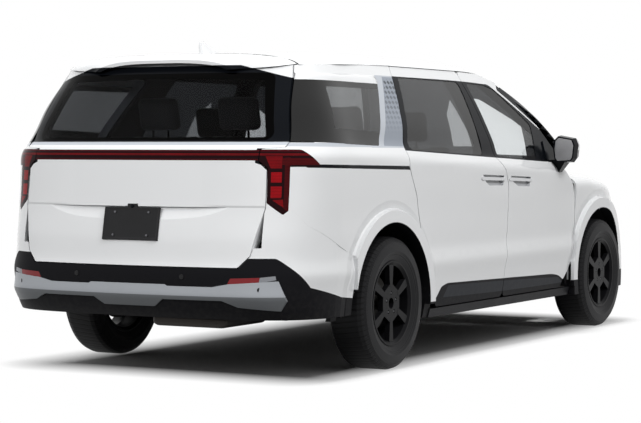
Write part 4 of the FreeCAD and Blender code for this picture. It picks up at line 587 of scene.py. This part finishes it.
def dressNodes():
    for name, piece in nodes.items():
        fitting = [start for start in finishOfNode if name.startswith(start)]
        start = max(fitting, key=len)
        piece.data.materials.clear()
        piece.data.materials.append(materials[finishOfNode[start]])


dressNodes()
print("nodes dressed")


# Helpers for modelling

def selectOnly(piece):
    deselectAll()
    piece.select_set(True)
    bpy.context.view_layer.objects.active = piece


def applyTransform(piece, turn=None, place=None):
    if turn is not None:
        piece.rotation_euler = turn
        piece.location = place
    selectOnly(piece)
    bpy.ops.object.transform_apply(location=True, rotation=True, scale=True)


def turnOutward():
    bpy.ops.mesh.select_all(action="SELECT")
    bpy.ops.mesh.normals_make_consistent(inside=False)


# Names the piece just made and applies its transform
def takePiece(name):
    piece = bpy.context.object
    piece.name = name
    applyTransform(piece)
    return piece


def startPiece(name, center, size):
    deselectAll()
    bpy.ops.mesh.primitive_cube_add(size=1.0, location=center, scale=size)
    return takePiece(name)


def startDisc(name, center, radius, depth, turn, sides=40):
    deselectAll()
    bpy.ops.mesh.primitive_cylinder_add(vertices=sides, radius=radius, depth=depth, location=center,
                                        rotation=turn)
    return takePiece(name)


# Selects the faces for which a test on their middle and normal holds
def selectFaces(piece, test):
    bpy.ops.object.mode_set(mode="OBJECT")
    for face in piece.data.polygons:
        face.select = bool(test(face.center, face.normal))
    for edge in piece.data.edges:
        edge.select = False
    for corner in piece.data.vertices:
        corner.select = False
    for face in piece.data.polygons:
        if face.select:
            for index in face.vertices:
                piece.data.vertices[index].select = True
    bpy.ops.object.mode_set(mode="EDIT")
    bpy.ops.mesh.select_mode(type="FACE")


# Insets the faces that look back and shifts them, once per step
def stepRear(piece, steps):
    selectFaces(piece, lambda center, normal: normal.x < -0.9)
    for inset, shift in steps:
        bpy.ops.mesh.inset(thickness=inset)
        bpy.ops.transform.translate(value=(shift, 0, 0))


def bevelAll(piece, width, segments=3):
    edge = piece.modifiers.new("edge", "BEVEL")
    edge.width = width
    edge.segments = segments
    edge.limit_method = "ANGLE"
    bpy.ops.object.mode_set(mode="OBJECT")
    bpy.context.view_layer.objects.active = piece
    bpy.ops.object.modifier_apply(modifier=edge.name)


def finishPiece(piece, material, body="root", angle=40.0):
    bpy.ops.object.mode_set(mode="OBJECT")
    selectOnly(piece)
    bpy.ops.object.shade_smooth_by_angle(angle=math.radians(angle))
    piece.data.materials.clear()
    piece.data.materials.append(material)
    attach(piece, body)
    return piece


def ownCopy(piece, name):
    other = piece.copy()
    other.data = piece.data.copy()
    other.name = name
    for key in list(other.keys()):
        del other[key]
    bpy.context.scene.collection.objects.link(other)
    selectOnly(other)
    return other


def mirrorPiece(piece):
    piece.scale = (1, -1, 1)
    applyTransform(piece)
    bpy.ops.object.mode_set(mode="EDIT")
    turnOutward()
    bpy.ops.object.mode_set(mode="OBJECT")
    return piece


def joinPieces(pieces, name):
    deselectAll()
    for piece in pieces:
        piece.select_set(True)
    bpy.context.view_layer.objects.active = pieces[0]
    bpy.ops.object.join()
    pieces[0].name = name
    return pieces[0]


# Blank plate on its holder, leaning with the tailgate

plateHolder = {"width": 0.344, "top": (-2.5215, 0.899), "bottom": (-2.5535, 0.729), "thick": 0.012,
               "steps": ((0.010, 0.003), (0.002, 0.0015), (0.030, -0.0012)), "edge": 0.0022}
plateScrews = {"radius": 0.006, "depth": 0.006, "places": ((0.105, 0.15), (0.105, 0.85)),
               "steps": ((0.0018, 0.0012),), "edge": 0.0006}
facingBack = (0, math.pi / 2, 0)


def makePlate():
    topX, topZ = plateHolder["top"]
    lowX, lowZ = plateHolder["bottom"]
    tall = math.hypot(topX - lowX, topZ - lowZ)
    lean = math.atan2(topX - lowX, topZ - lowZ)
    middle = Vector(((topX + lowX) / 2.0, 0.0, (topZ + lowZ) / 2.0))
    piece = startPiece("plateHolder", (0, 0, 0), (plateHolder["thick"], plateHolder["width"], tall))
    stepRear(piece, plateHolder["steps"])
    bevelAll(piece, plateHolder["edge"])
    screws = []
    for across, up in plateScrews["places"]:
        for side in (-1.0, 1.0):
            place = (-plateHolder["thick"] / 2.0 + 0.001, side * across, (up - 0.5) * tall)
            screw = startDisc("plateScrew", place, plateScrews["radius"], plateScrews["depth"], facingBack, 20)
            stepRear(screw, plateScrews["steps"])
            bevelAll(screw, plateScrews["edge"], 2)
            screws.append(screw)
    screws = joinPieces(screws, "plateScrews")
    for one in (piece, screws):
        applyTransform(one, (0, lean, 0), middle)
    finishPiece(piece, materials["blackTrim"], "tailgate")
    finishPiece(screws, materials["screwMetal"], "tailgate")


# Camera under the crease, in its small housing

gateCamera = {"place": (-2.5170, 0.0, 0.905), "size": (0.020, 0.060, 0.026), "steps": ((0.004, 0.003),),
              "edge": 0.004, "lens": 0.0085, "lensShift": (-0.008, 0, -0.001), "lensDepth": 0.010,
              "lensSteps": ((0.002, -0.002), (0.002, -0.001)), "lensEdge": 0.0008}


def makeGateCamera():
    place = Vector(gateCamera["place"])
    housing = startPiece("gateCameraHousing", place, gateCamera["size"])
    stepRear(housing, gateCamera["steps"])
    bevelAll(housing, gateCamera["edge"], 4)
    finishPiece(housing, materials["blackTrim"], "tailgate")
    place += Vector(gateCamera["lensShift"])
    lens = startDisc("gateCameraLens", place, gateCamera["lens"], gateCamera["lensDepth"], facingBack, 28)
    stepRear(lens, gateCamera["lensSteps"])
    bevelAll(lens, gateCamera["lensEdge"], 2)
    finishPiece(lens, materials["blackGloss"], "tailgate")


# Round parking sensors in the bumper: place and outward direction in the plan

sensors = {"radius": 0.0125, "places": ((-2.5630, 0.328, 0.549, 4.0), (-2.4870, 0.745, 0.490, 42.0)),
           "depth": 0.012, "steps": ((0.002, 0.0012), (0.0015, -0.001)), "edge": 0.0007}


def makeSensors():
    made = []
    for x, y, z, angle in sensors["places"]:
        disc = startDisc("sensor", (0, 0, 0), sensors["radius"], sensors["depth"], facingBack, 32)
        stepRear(disc, sensors["steps"])
        bevelAll(disc, sensors["edge"], 2)
        applyTransform(disc, (0, 0, -math.radians(angle)), (x, y, z))
        made += [disc, mirrorPiece(ownCopy(disc, "sensorMirrored"))]
    finishPiece(joinPieces(made, "parkingSensors"), materials["blackTrim"])


makePlate()
makeGateCamera()
makeSensors()
print("plate, camera and sensors made")


# Seats: padded cushion, back and head pad on a frame with legs and head posts

seats = {"places": (("frontLeft", 0.330, 0.400, 0.520, 0.640), ("frontRight", 0.330, -0.400, 0.520, 0.640),
                    ("middleLeft", -0.560, 0.430, 0.500, 0.660), ("middleRight", -0.560, -0.430, 0.500, 0.660),
                    ("rearLeft", -1.420, 0.258, 0.480, 0.700), ("rearRight", -1.420, -0.258, 0.480, 0.700)),
         "cuts": 22, "rounding": 0.045, "crown": 0.018, "pull": 0.030, "groove": 0.010, "bolster": 0.62,
         "backTilt": -16.0, "headTilt": -12.0, "floor": 0.3003, "rearFloor": 0.4503, "rearStart": -0.9,
         "cushion": (0.50, 0.125), "back": (0.115, 0.60), "head": (0.088, 0.255, 0.185), "gap": 0.01,
         "cushionAt": (0.005, -0.064), "backAt": (-0.300, -0.040), "backMiddle": (0.060, 0, 0.315),
         "headAt": (-0.482, 0.590), "headMiddle": (0.045, 0, 0.095), "under": 0.128,
         "cushionSeams": (-0.45, 0.0, 0.45), "backSeams": (-0.5, -0.1, 0.3)}
headPost = {"radius": 0.007, "depth": 0.13, "apart": 0.05, "tilt": -5.0, "at": (-0.445, 0.575), "edge": 0.001}
seatLeg = {"length": 0.36, "width": 0.036, "inset": 0.06, "rim": 0.03, "waist": 0.7, "back": 0.01, "edge": 0.004}


def makePad(name, size, face, tilt, place, channels):
    pad = startPiece(name, (0, 0, 0), size)
    bpy.ops.object.mode_set(mode="EDIT")
    bpy.ops.mesh.select_all(action="SELECT")
    bpy.ops.mesh.subdivide(number_cuts=seats["cuts"])
    bpy.ops.object.mode_set(mode="OBJECT")
    half = [side / 2.0 for side in size]
    radius = min(seats["rounding"], half[face] * 0.95)
    flat = [axis for axis in range(3) if axis != face]
    for corner in pad.data.vertices:
        point = corner.co.copy()
        share = [point[axis] / half[axis] for axis in range(3)]
        core = Vector([max(-half[axis] + radius, min(half[axis] - radius, point[axis])) for axis in range(3)])
        out = point - core
        if out.length > 0.0:
            point = core + out.normalized() * radius
        # The middle swells and the sides pull in between the corners
        swell = (1.0 - share[flat[0]] ** 2) * (1.0 - share[flat[1]] ** 2)
        for axis, other in ((flat[0], flat[1]), (flat[1], flat[0])):
            point[axis] *= 1.0 - seats["pull"] * (1.0 - share[other] ** 2)
        upper = max(0.0, share[face])
        point[face] += seats["crown"] * swell * upper - seats["crown"] * 0.6 * upper
        groove = math.exp(-((abs(share[1]) - seats["bolster"]) / 0.05) ** 2)
        for spot in channels:
            along = share[flat[0]] if flat[0] != 1 else share[flat[1]]
            if abs(share[1]) < seats["bolster"]:
                groove = max(groove, math.exp(-((along - spot) / 0.06) ** 2))
        point[face] -= seats["groove"] * groove * upper
        corner.co = point
    applyTransform(pad, (0, math.radians(tilt), 0), place)
    finishPiece(pad, materials["cloth"], angle=80.0)
    return pad


# A point of a leaning pad, from the seat's place, the pad's foot and the point seen from that foot
def tiltedPlace(place, foot, tilt, offset):
    turned = Vector(offset)
    turned.rotate(Matrix.Rotation(math.radians(tilt), 3, "Y"))
    return Vector((place[0] + foot[0], place[1], place[2] + foot[1])) + turned


def makeSeatFrame(name, x, y, z, width):
    parts = []
    for across in (-headPost["apart"], headPost["apart"]):
        place = (x + headPost["at"][0], y + across, z + headPost["at"][1])
        post = startDisc("post", place, headPost["radius"], headPost["depth"],
                         (0, math.radians(headPost["tilt"]), 0), 16)
        bevelAll(post, headPost["edge"], 1)
        parts.append(post)
    floor = seats["floor"] if x > seats["rearStart"] else seats["rearFloor"]
    tall = z - seats["under"] - floor
    for across in (-width / 2 + seatLeg["inset"], width / 2 - seatLeg["inset"]):
        middle = (x - seatLeg["back"], y + across, floor + tall / 2.0)
        leg = startPiece("leg", middle, (seatLeg["length"], seatLeg["width"], tall))
        selectFaces(leg, lambda center, normal: abs(normal.y) > 0.9)
        bpy.ops.mesh.inset(thickness=seatLeg["rim"])
        bpy.ops.transform.resize(value=(1, seatLeg["waist"], 1), center_override=middle)
        bevelAll(leg, seatLeg["edge"], 2)
        parts.append(leg)
    return finishPiece(joinPieces(parts, name + "Frame"), materials["plastic"])


def makeSeats():
    for name, x, y, width, z in seats["places"]:
        node = "front_seats" if name.startswith("front") else "rear_seats"
        wide = width - seats["gap"]
        length, thick = seats["cushion"]
        place = (x + seats["cushionAt"][0], y, z + seats["cushionAt"][1])
        made = [makePad(name + "Cushion", (length, wide, thick), 2, 0.0, place, seats["cushionSeams"])]
        thick, tall = seats["back"]
        place = tiltedPlace((x, y, z), seats["backAt"], seats["backTilt"], seats["backMiddle"])
        made.append(makePad(name + "Back", (thick, wide, tall), 0, seats["backTilt"], place, seats["backSeams"]))
        place = tiltedPlace((x, y, z), seats["headAt"], seats["headTilt"], seats["headMiddle"])
        made.append(makePad(name + "HeadPad", seats["head"], 0, seats["headTilt"], place, ()))
        made.append(makeSeatFrame(name, x, y, z, width))
        for piece in made:
            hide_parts(node)


makeSeats()
print("seats padded")


# Mirror: pale glass in the black housing and a painted cap

mirrorLook = {"glass": ((0.980, 1.199), (0.988, 1.252), (1.011, 1.274), (1.103, 1.258), (1.118, 1.223),
                        (1.108, 1.142), (1.093, 1.121), (1.001, 1.116), (0.987, 1.137)),
              "middle": (1.049, 1.196), "glassX": 0.7935, "glassThick": 0.0045, "shrink": 0.93, "capX": 0.846,
              "capCorner": (1.1165, 1.190), "capGrow": 1.085, "capMiddle": 1.190,
              "capSteps": ((0.030, 0.965), (0.030, 0.885), (0.016, 0.70))}


# A flat face across the car, with its corners on a mirror's outline
def outlineFace(name, corners, grow, x):
    middle = mirrorLook["middle"]
    points = [[middle[axis] + (corner[axis] - middle[axis]) * grow for axis in (0, 1)] for corner in corners]
    deselectAll()
    bpy.ops.mesh.primitive_circle_add(vertices=len(points), radius=0.05, fill_type="NGON",
                                      location=(x, -middle[0], middle[1]), rotation=facingBack)
    piece = takePiece(name)
    for corner, (y, z) in zip(piece.data.vertices, points):
        corner.co = Vector((x, -y, z))
    bpy.ops.object.mode_set(mode="EDIT")
    turnOutward()
    return piece


def pushOut(step):
    bpy.ops.mesh.extrude_region_move(TRANSFORM_OT_translate={"value": (step, 0, 0)})


def makeMirrors():
    outline = mirrorLook["glass"]
    for side, body in (("Right", "front_door_right"), ("Left", "front_door_left")):
        glass = outlineFace("mirrorGlass" + side, outline, mirrorLook["shrink"], mirrorLook["glassX"])
        pushOut(mirrorLook["glassThick"])
        turnOutward()
        bevelAll(glass, 0.003)
        place = mirrorLook["capX"]
        corners = outline[:5] + (mirrorLook["capCorner"],)
        cap = outlineFace("mirrorCap" + side, corners, mirrorLook["capGrow"], place)
        for step, grow in mirrorLook["capSteps"]:
            pushOut(step)
            place += step
            middle = (place, -mirrorLook["middle"][0], mirrorLook["capMiddle"])
            bpy.ops.transform.resize(value=(1, grow, grow), center_override=middle)
        turnOutward()
        bevelAll(cap, 0.004)
        if side == "Left":
            mirrorPiece(glass)
            mirrorPiece(cap)
        finishPiece(glass, materials["mirrorGlass"], body)
        finishPiece(cap, materials["bodyPaint"], body)


makeMirrors()
print("mirror glass and caps made")


# Wheel nuts in their pockets

nuts = {"count": 5, "circle": 0.057, "radius": 0.0085, "depth": 0.018, "faceY": 0.950, "first": 90.0,
        "inset": 0.002, "crown": 0.003, "edge": 0.0008}


def makeNuts():
    for end, side in (("front", "Left"), ("front", "Right"), ("rear", "Left"), ("rear", "Right")):
        sign = 1.0 if side == "Left" else -1.0
        parts = []
        for number in range(nuts["count"]):
            turn = math.radians(nuts["first"] + 360.0 * number / nuts["count"])
            place = (axles[end] + nuts["circle"] * math.cos(turn), sign * nuts["faceY"],
                     axles["height"] + nuts["circle"] * math.sin(turn))
            nut = startDisc("nut", place, nuts["radius"], nuts["depth"], (math.pi / 2, 0, 0), 6)
            selectFaces(nut, lambda center, normal: normal.y * sign > 0.9)
            bpy.ops.mesh.inset(thickness=nuts["inset"])
            bpy.ops.transform.translate(value=(0, sign * nuts["crown"], 0))
            bevelAll(nut, nuts["edge"], 2)
            parts.append(nut)
        finishPiece(joinPieces(parts, "wheelNuts" + end.capitalize() + side), materials["nut"],
                    end + "_wheel_" + side.lower())


makeNuts()
print("wheel nuts made")


# Copies of panels with their surface drawn nearer to the real one's

pillarDrop = {"height": 0.052, "from": 0.95, "over": 0.42, "edgeX": 0.319, "edgeZ": 1.560, "slope": -0.478,
              "tall": 0.10}
roofDrop = {"height": 0.050, "from": 0.05, "over": 0.60, "sideFrom": 0.35, "sideOver": 0.42}
quarterBand = {"low": (-2.16, 1.566), "slope": -0.006, "top": 1.6105, "proud": 0.0016}
muffler = {"front": -1.80, "low": 0.262, "top": 0.330, "wasLow": 0.222}


def ease(value):
    value = max(0.0, min(1.0, value))
    return value * value * (3.0 - 2.0 * value)


def copyNode(name, newName):
    piece = ownCopy(nodes[name], newName)
    bpy.ops.object.mode_set(mode="EDIT")
    bpy.ops.mesh.select_all(action="SELECT")
    bpy.ops.mesh.remove_doubles(threshold=0.00002)
    bpy.ops.object.mode_set(mode="OBJECT")
    return piece


def reshapeNode(name, newName, move):
    piece = copyNode(name, newName)
    for corner in piece.data.vertices:
        corner.co = move(corner.co.copy())
    finishPiece(piece, nodes[name].data.materials[0], angle=30.0)
    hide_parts(name)


# The lower edge of each pillar stays, and what is above it comes down
def lowerPillar(point):
    share = max(0.0, (pillarDrop["from"] - point.x) / pillarDrop["over"])
    edge = pillarDrop["edgeZ"] + pillarDrop["slope"] * (point.x - pillarDrop["edgeX"])
    part = max(0.0, min(1.0, (point.z - edge) / pillarDrop["tall"]))
    point.z -= pillarDrop["height"] * share ** 1.5 * part
    return point


def lowerRoofCorner(point):
    forward = ease((point.x - roofDrop["from"]) / roofDrop["over"])
    point.z -= roofDrop["height"] * forward * ease((abs(point.y) - roofDrop["sideFrom"]) / roofDrop["sideOver"])
    return point


def liftMuffler(point):
    if point.x < muffler["front"]:
        share = (point.z - muffler["wasLow"]) / (muffler["top"] - muffler["wasLow"])
        point.z = muffler["low"] + share * (muffler["top"] - muffler["low"])
    return point


def makeReshaped():
    reshapeNode("windscreen_pillars", "bentPillars", lowerPillar)
    reshapeNode("roof_panel", "easedRoof", lowerRoofCorner)
    reshapeNode("exhaust", "flatMuffler", liftMuffler)


# White band over the quarter glass, taken from the glass and set slightly proud
def makeQuarterBand():
    band = copyNode("quarter_glass", "quarterBand")
    bpy.ops.object.mode_set(mode="EDIT")
    startX, startZ = quarterBand["low"]
    for place, way in (((startX, 0, startZ), (-quarterBand["slope"], 0, 1.0)),
                       ((0, 0, quarterBand["top"]), (0, 0, -1.0))):
        bpy.ops.mesh.select_all(action="SELECT")
        bpy.ops.mesh.bisect(plane_co=place, plane_no=way, clear_inner=True, use_fill=True)
    turnOutward()
    bpy.ops.transform.shrink_fatten(value=quarterBand["proud"])
    finishPiece(band, materials["bodyPaint"])


makeReshaped()
makeQuarterBand()
print("panels reshaped")


# Floor, light and camera

stage = {"floorSize": 60.0, "shadowLength": 2.0, "shadowWidth": 0.74, "shadowFade": 0.45, "worldLow": 0.12,
         "worldTop": 0.55, "floorColor": (0.93, 0.93, 0.93, 1), "floorBounce": (0.06, 0.06, 0.06, 1)}
# Place, target, power, width and height
lamps = {"key": ((-4.0, -8.5, 7.5), (-0.3, 0, 1.0), 800.0, 6.0, 3.0),
         "fill": ((-10.5, 2.0, 5.0), (-2.0, 0, 0.9), 430.0, 5.0, 3.0),
         "front": ((9.5, 4.0, 5.0), (1.5, 0, 0.8), 360.0, 5.0, 3.0),
         "side": ((2.0, 9.5, 5.0), (0, 0, 0.9), 360.0, 6.0, 3.0),
         "top": ((0.0, 0.0, 8.0), (0, 0, 0), 195.0, 8.0, 5.0),
         "floorLamp": ((-1.6, -0.5, 9.0), (-1.6, -0.5, 0), 1100.0, 2.5, 1.8)}


# 1 for rays that see floor and sky plain white, instead of lit
def plainRays(tree, rays):
    return either(tree, *[rays.outputs["Is " + kind + " Ray"] for kind in ("Camera", "Glossy", "Transmission")])


def makeStage():
    deselectAll()
    bpy.ops.mesh.primitive_plane_add(size=stage["floorSize"], location=(0, 0, 0))
    floor = bpy.context.object
    floor.name = "floor"
    material = bpy.data.materials.new("paleFloor")
    material.use_nodes = True
    tree = material.node_tree
    tree.nodes.clear()
    parts = addNode(tree, "ShaderNodeSeparateXYZ", {0: objectPlace(tree)})
    gaps = []
    for socket, half in ((parts.outputs[0], stage["shadowLength"]), (parts.outputs[1], stage["shadowWidth"])):
        gap = calc(tree, "MAXIMUM", calc(tree, "SUBTRACT", calc(tree, "ABSOLUTE", socket), half), 0.0)
        gaps.append(calc(tree, "MULTIPLY", gap, gap))
    away = calc(tree, "DIVIDE", calc(tree, "SQRT", calc(tree, "ADD", *gaps)), stage["shadowFade"], clamp=True)
    rays = addNode(tree, "ShaderNodeLightPath")
    seen = plainRays(tree, rays)
    ground = mixColors(tree, rays.outputs["Is Diffuse Ray"], stage["floorColor"], stage["floorBounce"])
    soft = addNode(tree, "ShaderNodeBsdfDiffuse", {"Color": ground})
    plain = addNode(tree, "ShaderNodeEmission", {"Color": (1, 1, 1, 1), "Strength": 1.0})
    blend = addNode(tree, "ShaderNodeMixShader", {0: calc(tree, "MULTIPLY", seen, away), 1: soft.outputs[0],
                                                  2: plain.outputs[0]})
    output = tree.nodes.new("ShaderNodeOutputMaterial")
    tree.links.new(blend.outputs[0], output.inputs[0])
    floor.data.materials.append(material)


def makeWorld():
    world = bpy.data.worlds.new("studio")
    bpy.context.scene.world = world
    world.use_nodes = True
    tree = world.node_tree
    tree.nodes.clear()
    rays = addNode(tree, "ShaderNodeLightPath")
    seen = plainRays(tree, rays)
    way = addNode(tree, "ShaderNodeSeparateXYZ", {0: addNode(tree, "ShaderNodeTexCoord").outputs["Generated"]})
    upward = calc(tree, "MAXIMUM", way.outputs[2], 0.0)
    dome = calc(tree, "MULTIPLY_ADD", upward, stage["worldTop"] - stage["worldLow"], stage["worldLow"])
    strength = mixValues(tree, seen, dome, 1.0)
    sky = addNode(tree, "ShaderNodeBackground", {"Color": (1, 1, 1, 1), "Strength": strength})
    output = tree.nodes.new("ShaderNodeOutputWorld")
    tree.links.new(sky.outputs[0], output.inputs[0])


# The floor has its own lamp and the others skip it, so that it keeps a dark shadow
def addLamp(name, place, target, power, width, height):
    data = bpy.data.lights.new(name, "AREA")
    data.shape = "RECTANGLE"
    data.size = width
    data.size_y = height
    data.energy = power
    lamp = bpy.data.objects.new(name, data)
    bpy.context.scene.collection.objects.link(lamp)
    lamp.visible_glossy = False
    linked = bpy.data.collections.new(name + "Linked")
    linked.objects.link(bpy.data.objects["floor"])
    linked.collection_objects[0].light_linking.link_state = "INCLUDE" if name == "floorLamp" else "EXCLUDE"
    lamp.light_linking.receiver_collection = linked
    lamp.location = place
    lamp.rotation_euler = (Vector(target) - Vector(place)).to_track_quat("-Z", "Y").to_euler()


camera = {"place": (-11.3624, -6.0237, 1.2264), "yaw": 29.056, "pitch": -1.898, "roll": 0.03,
          "focalPixels": 2046.95, "imageWidth": 641.0, "centerX": 319.5, "centerY": 212.16,
          "frameX": 320.5, "frameY": 211.5}


def makeCamera():
    data = bpy.data.cameras.new("camera")
    data.sensor_width = 36.0
    data.sensor_fit = "HORIZONTAL"
    data.lens = camera["focalPixels"] / camera["imageWidth"] * data.sensor_width
    data.shift_x = (camera["frameX"] - camera["centerX"]) / camera["imageWidth"]
    data.shift_y = (camera["centerY"] - camera["frameY"]) / camera["imageWidth"]
    view = bpy.data.objects.new("camera", data)
    bpy.context.scene.collection.objects.link(view)
    yaw = math.radians(camera["yaw"])
    pitch = math.radians(camera["pitch"])
    ahead = Vector((math.cos(pitch) * math.cos(yaw), math.cos(pitch) * math.sin(yaw), math.sin(pitch)))
    right = Vector((math.sin(yaw), -math.cos(yaw), 0.0))
    right.rotate(Matrix.Rotation(math.radians(camera["roll"]), 3, -ahead))
    up = right.cross(ahead)
    turn = Matrix((right, up, -ahead)).transposed().to_4x4()
    view.matrix_world = Matrix.Translation(camera["place"]) @ turn
    data.clip_end = 200.0
    bpy.context.scene.camera = view


makeStage()
makeWorld()
for name, look in lamps.items():
    addLamp(name, *look)
makeCamera()
bpy.context.scene.view_settings.view_transform = "Standard"
print("stage, lamps and camera set")
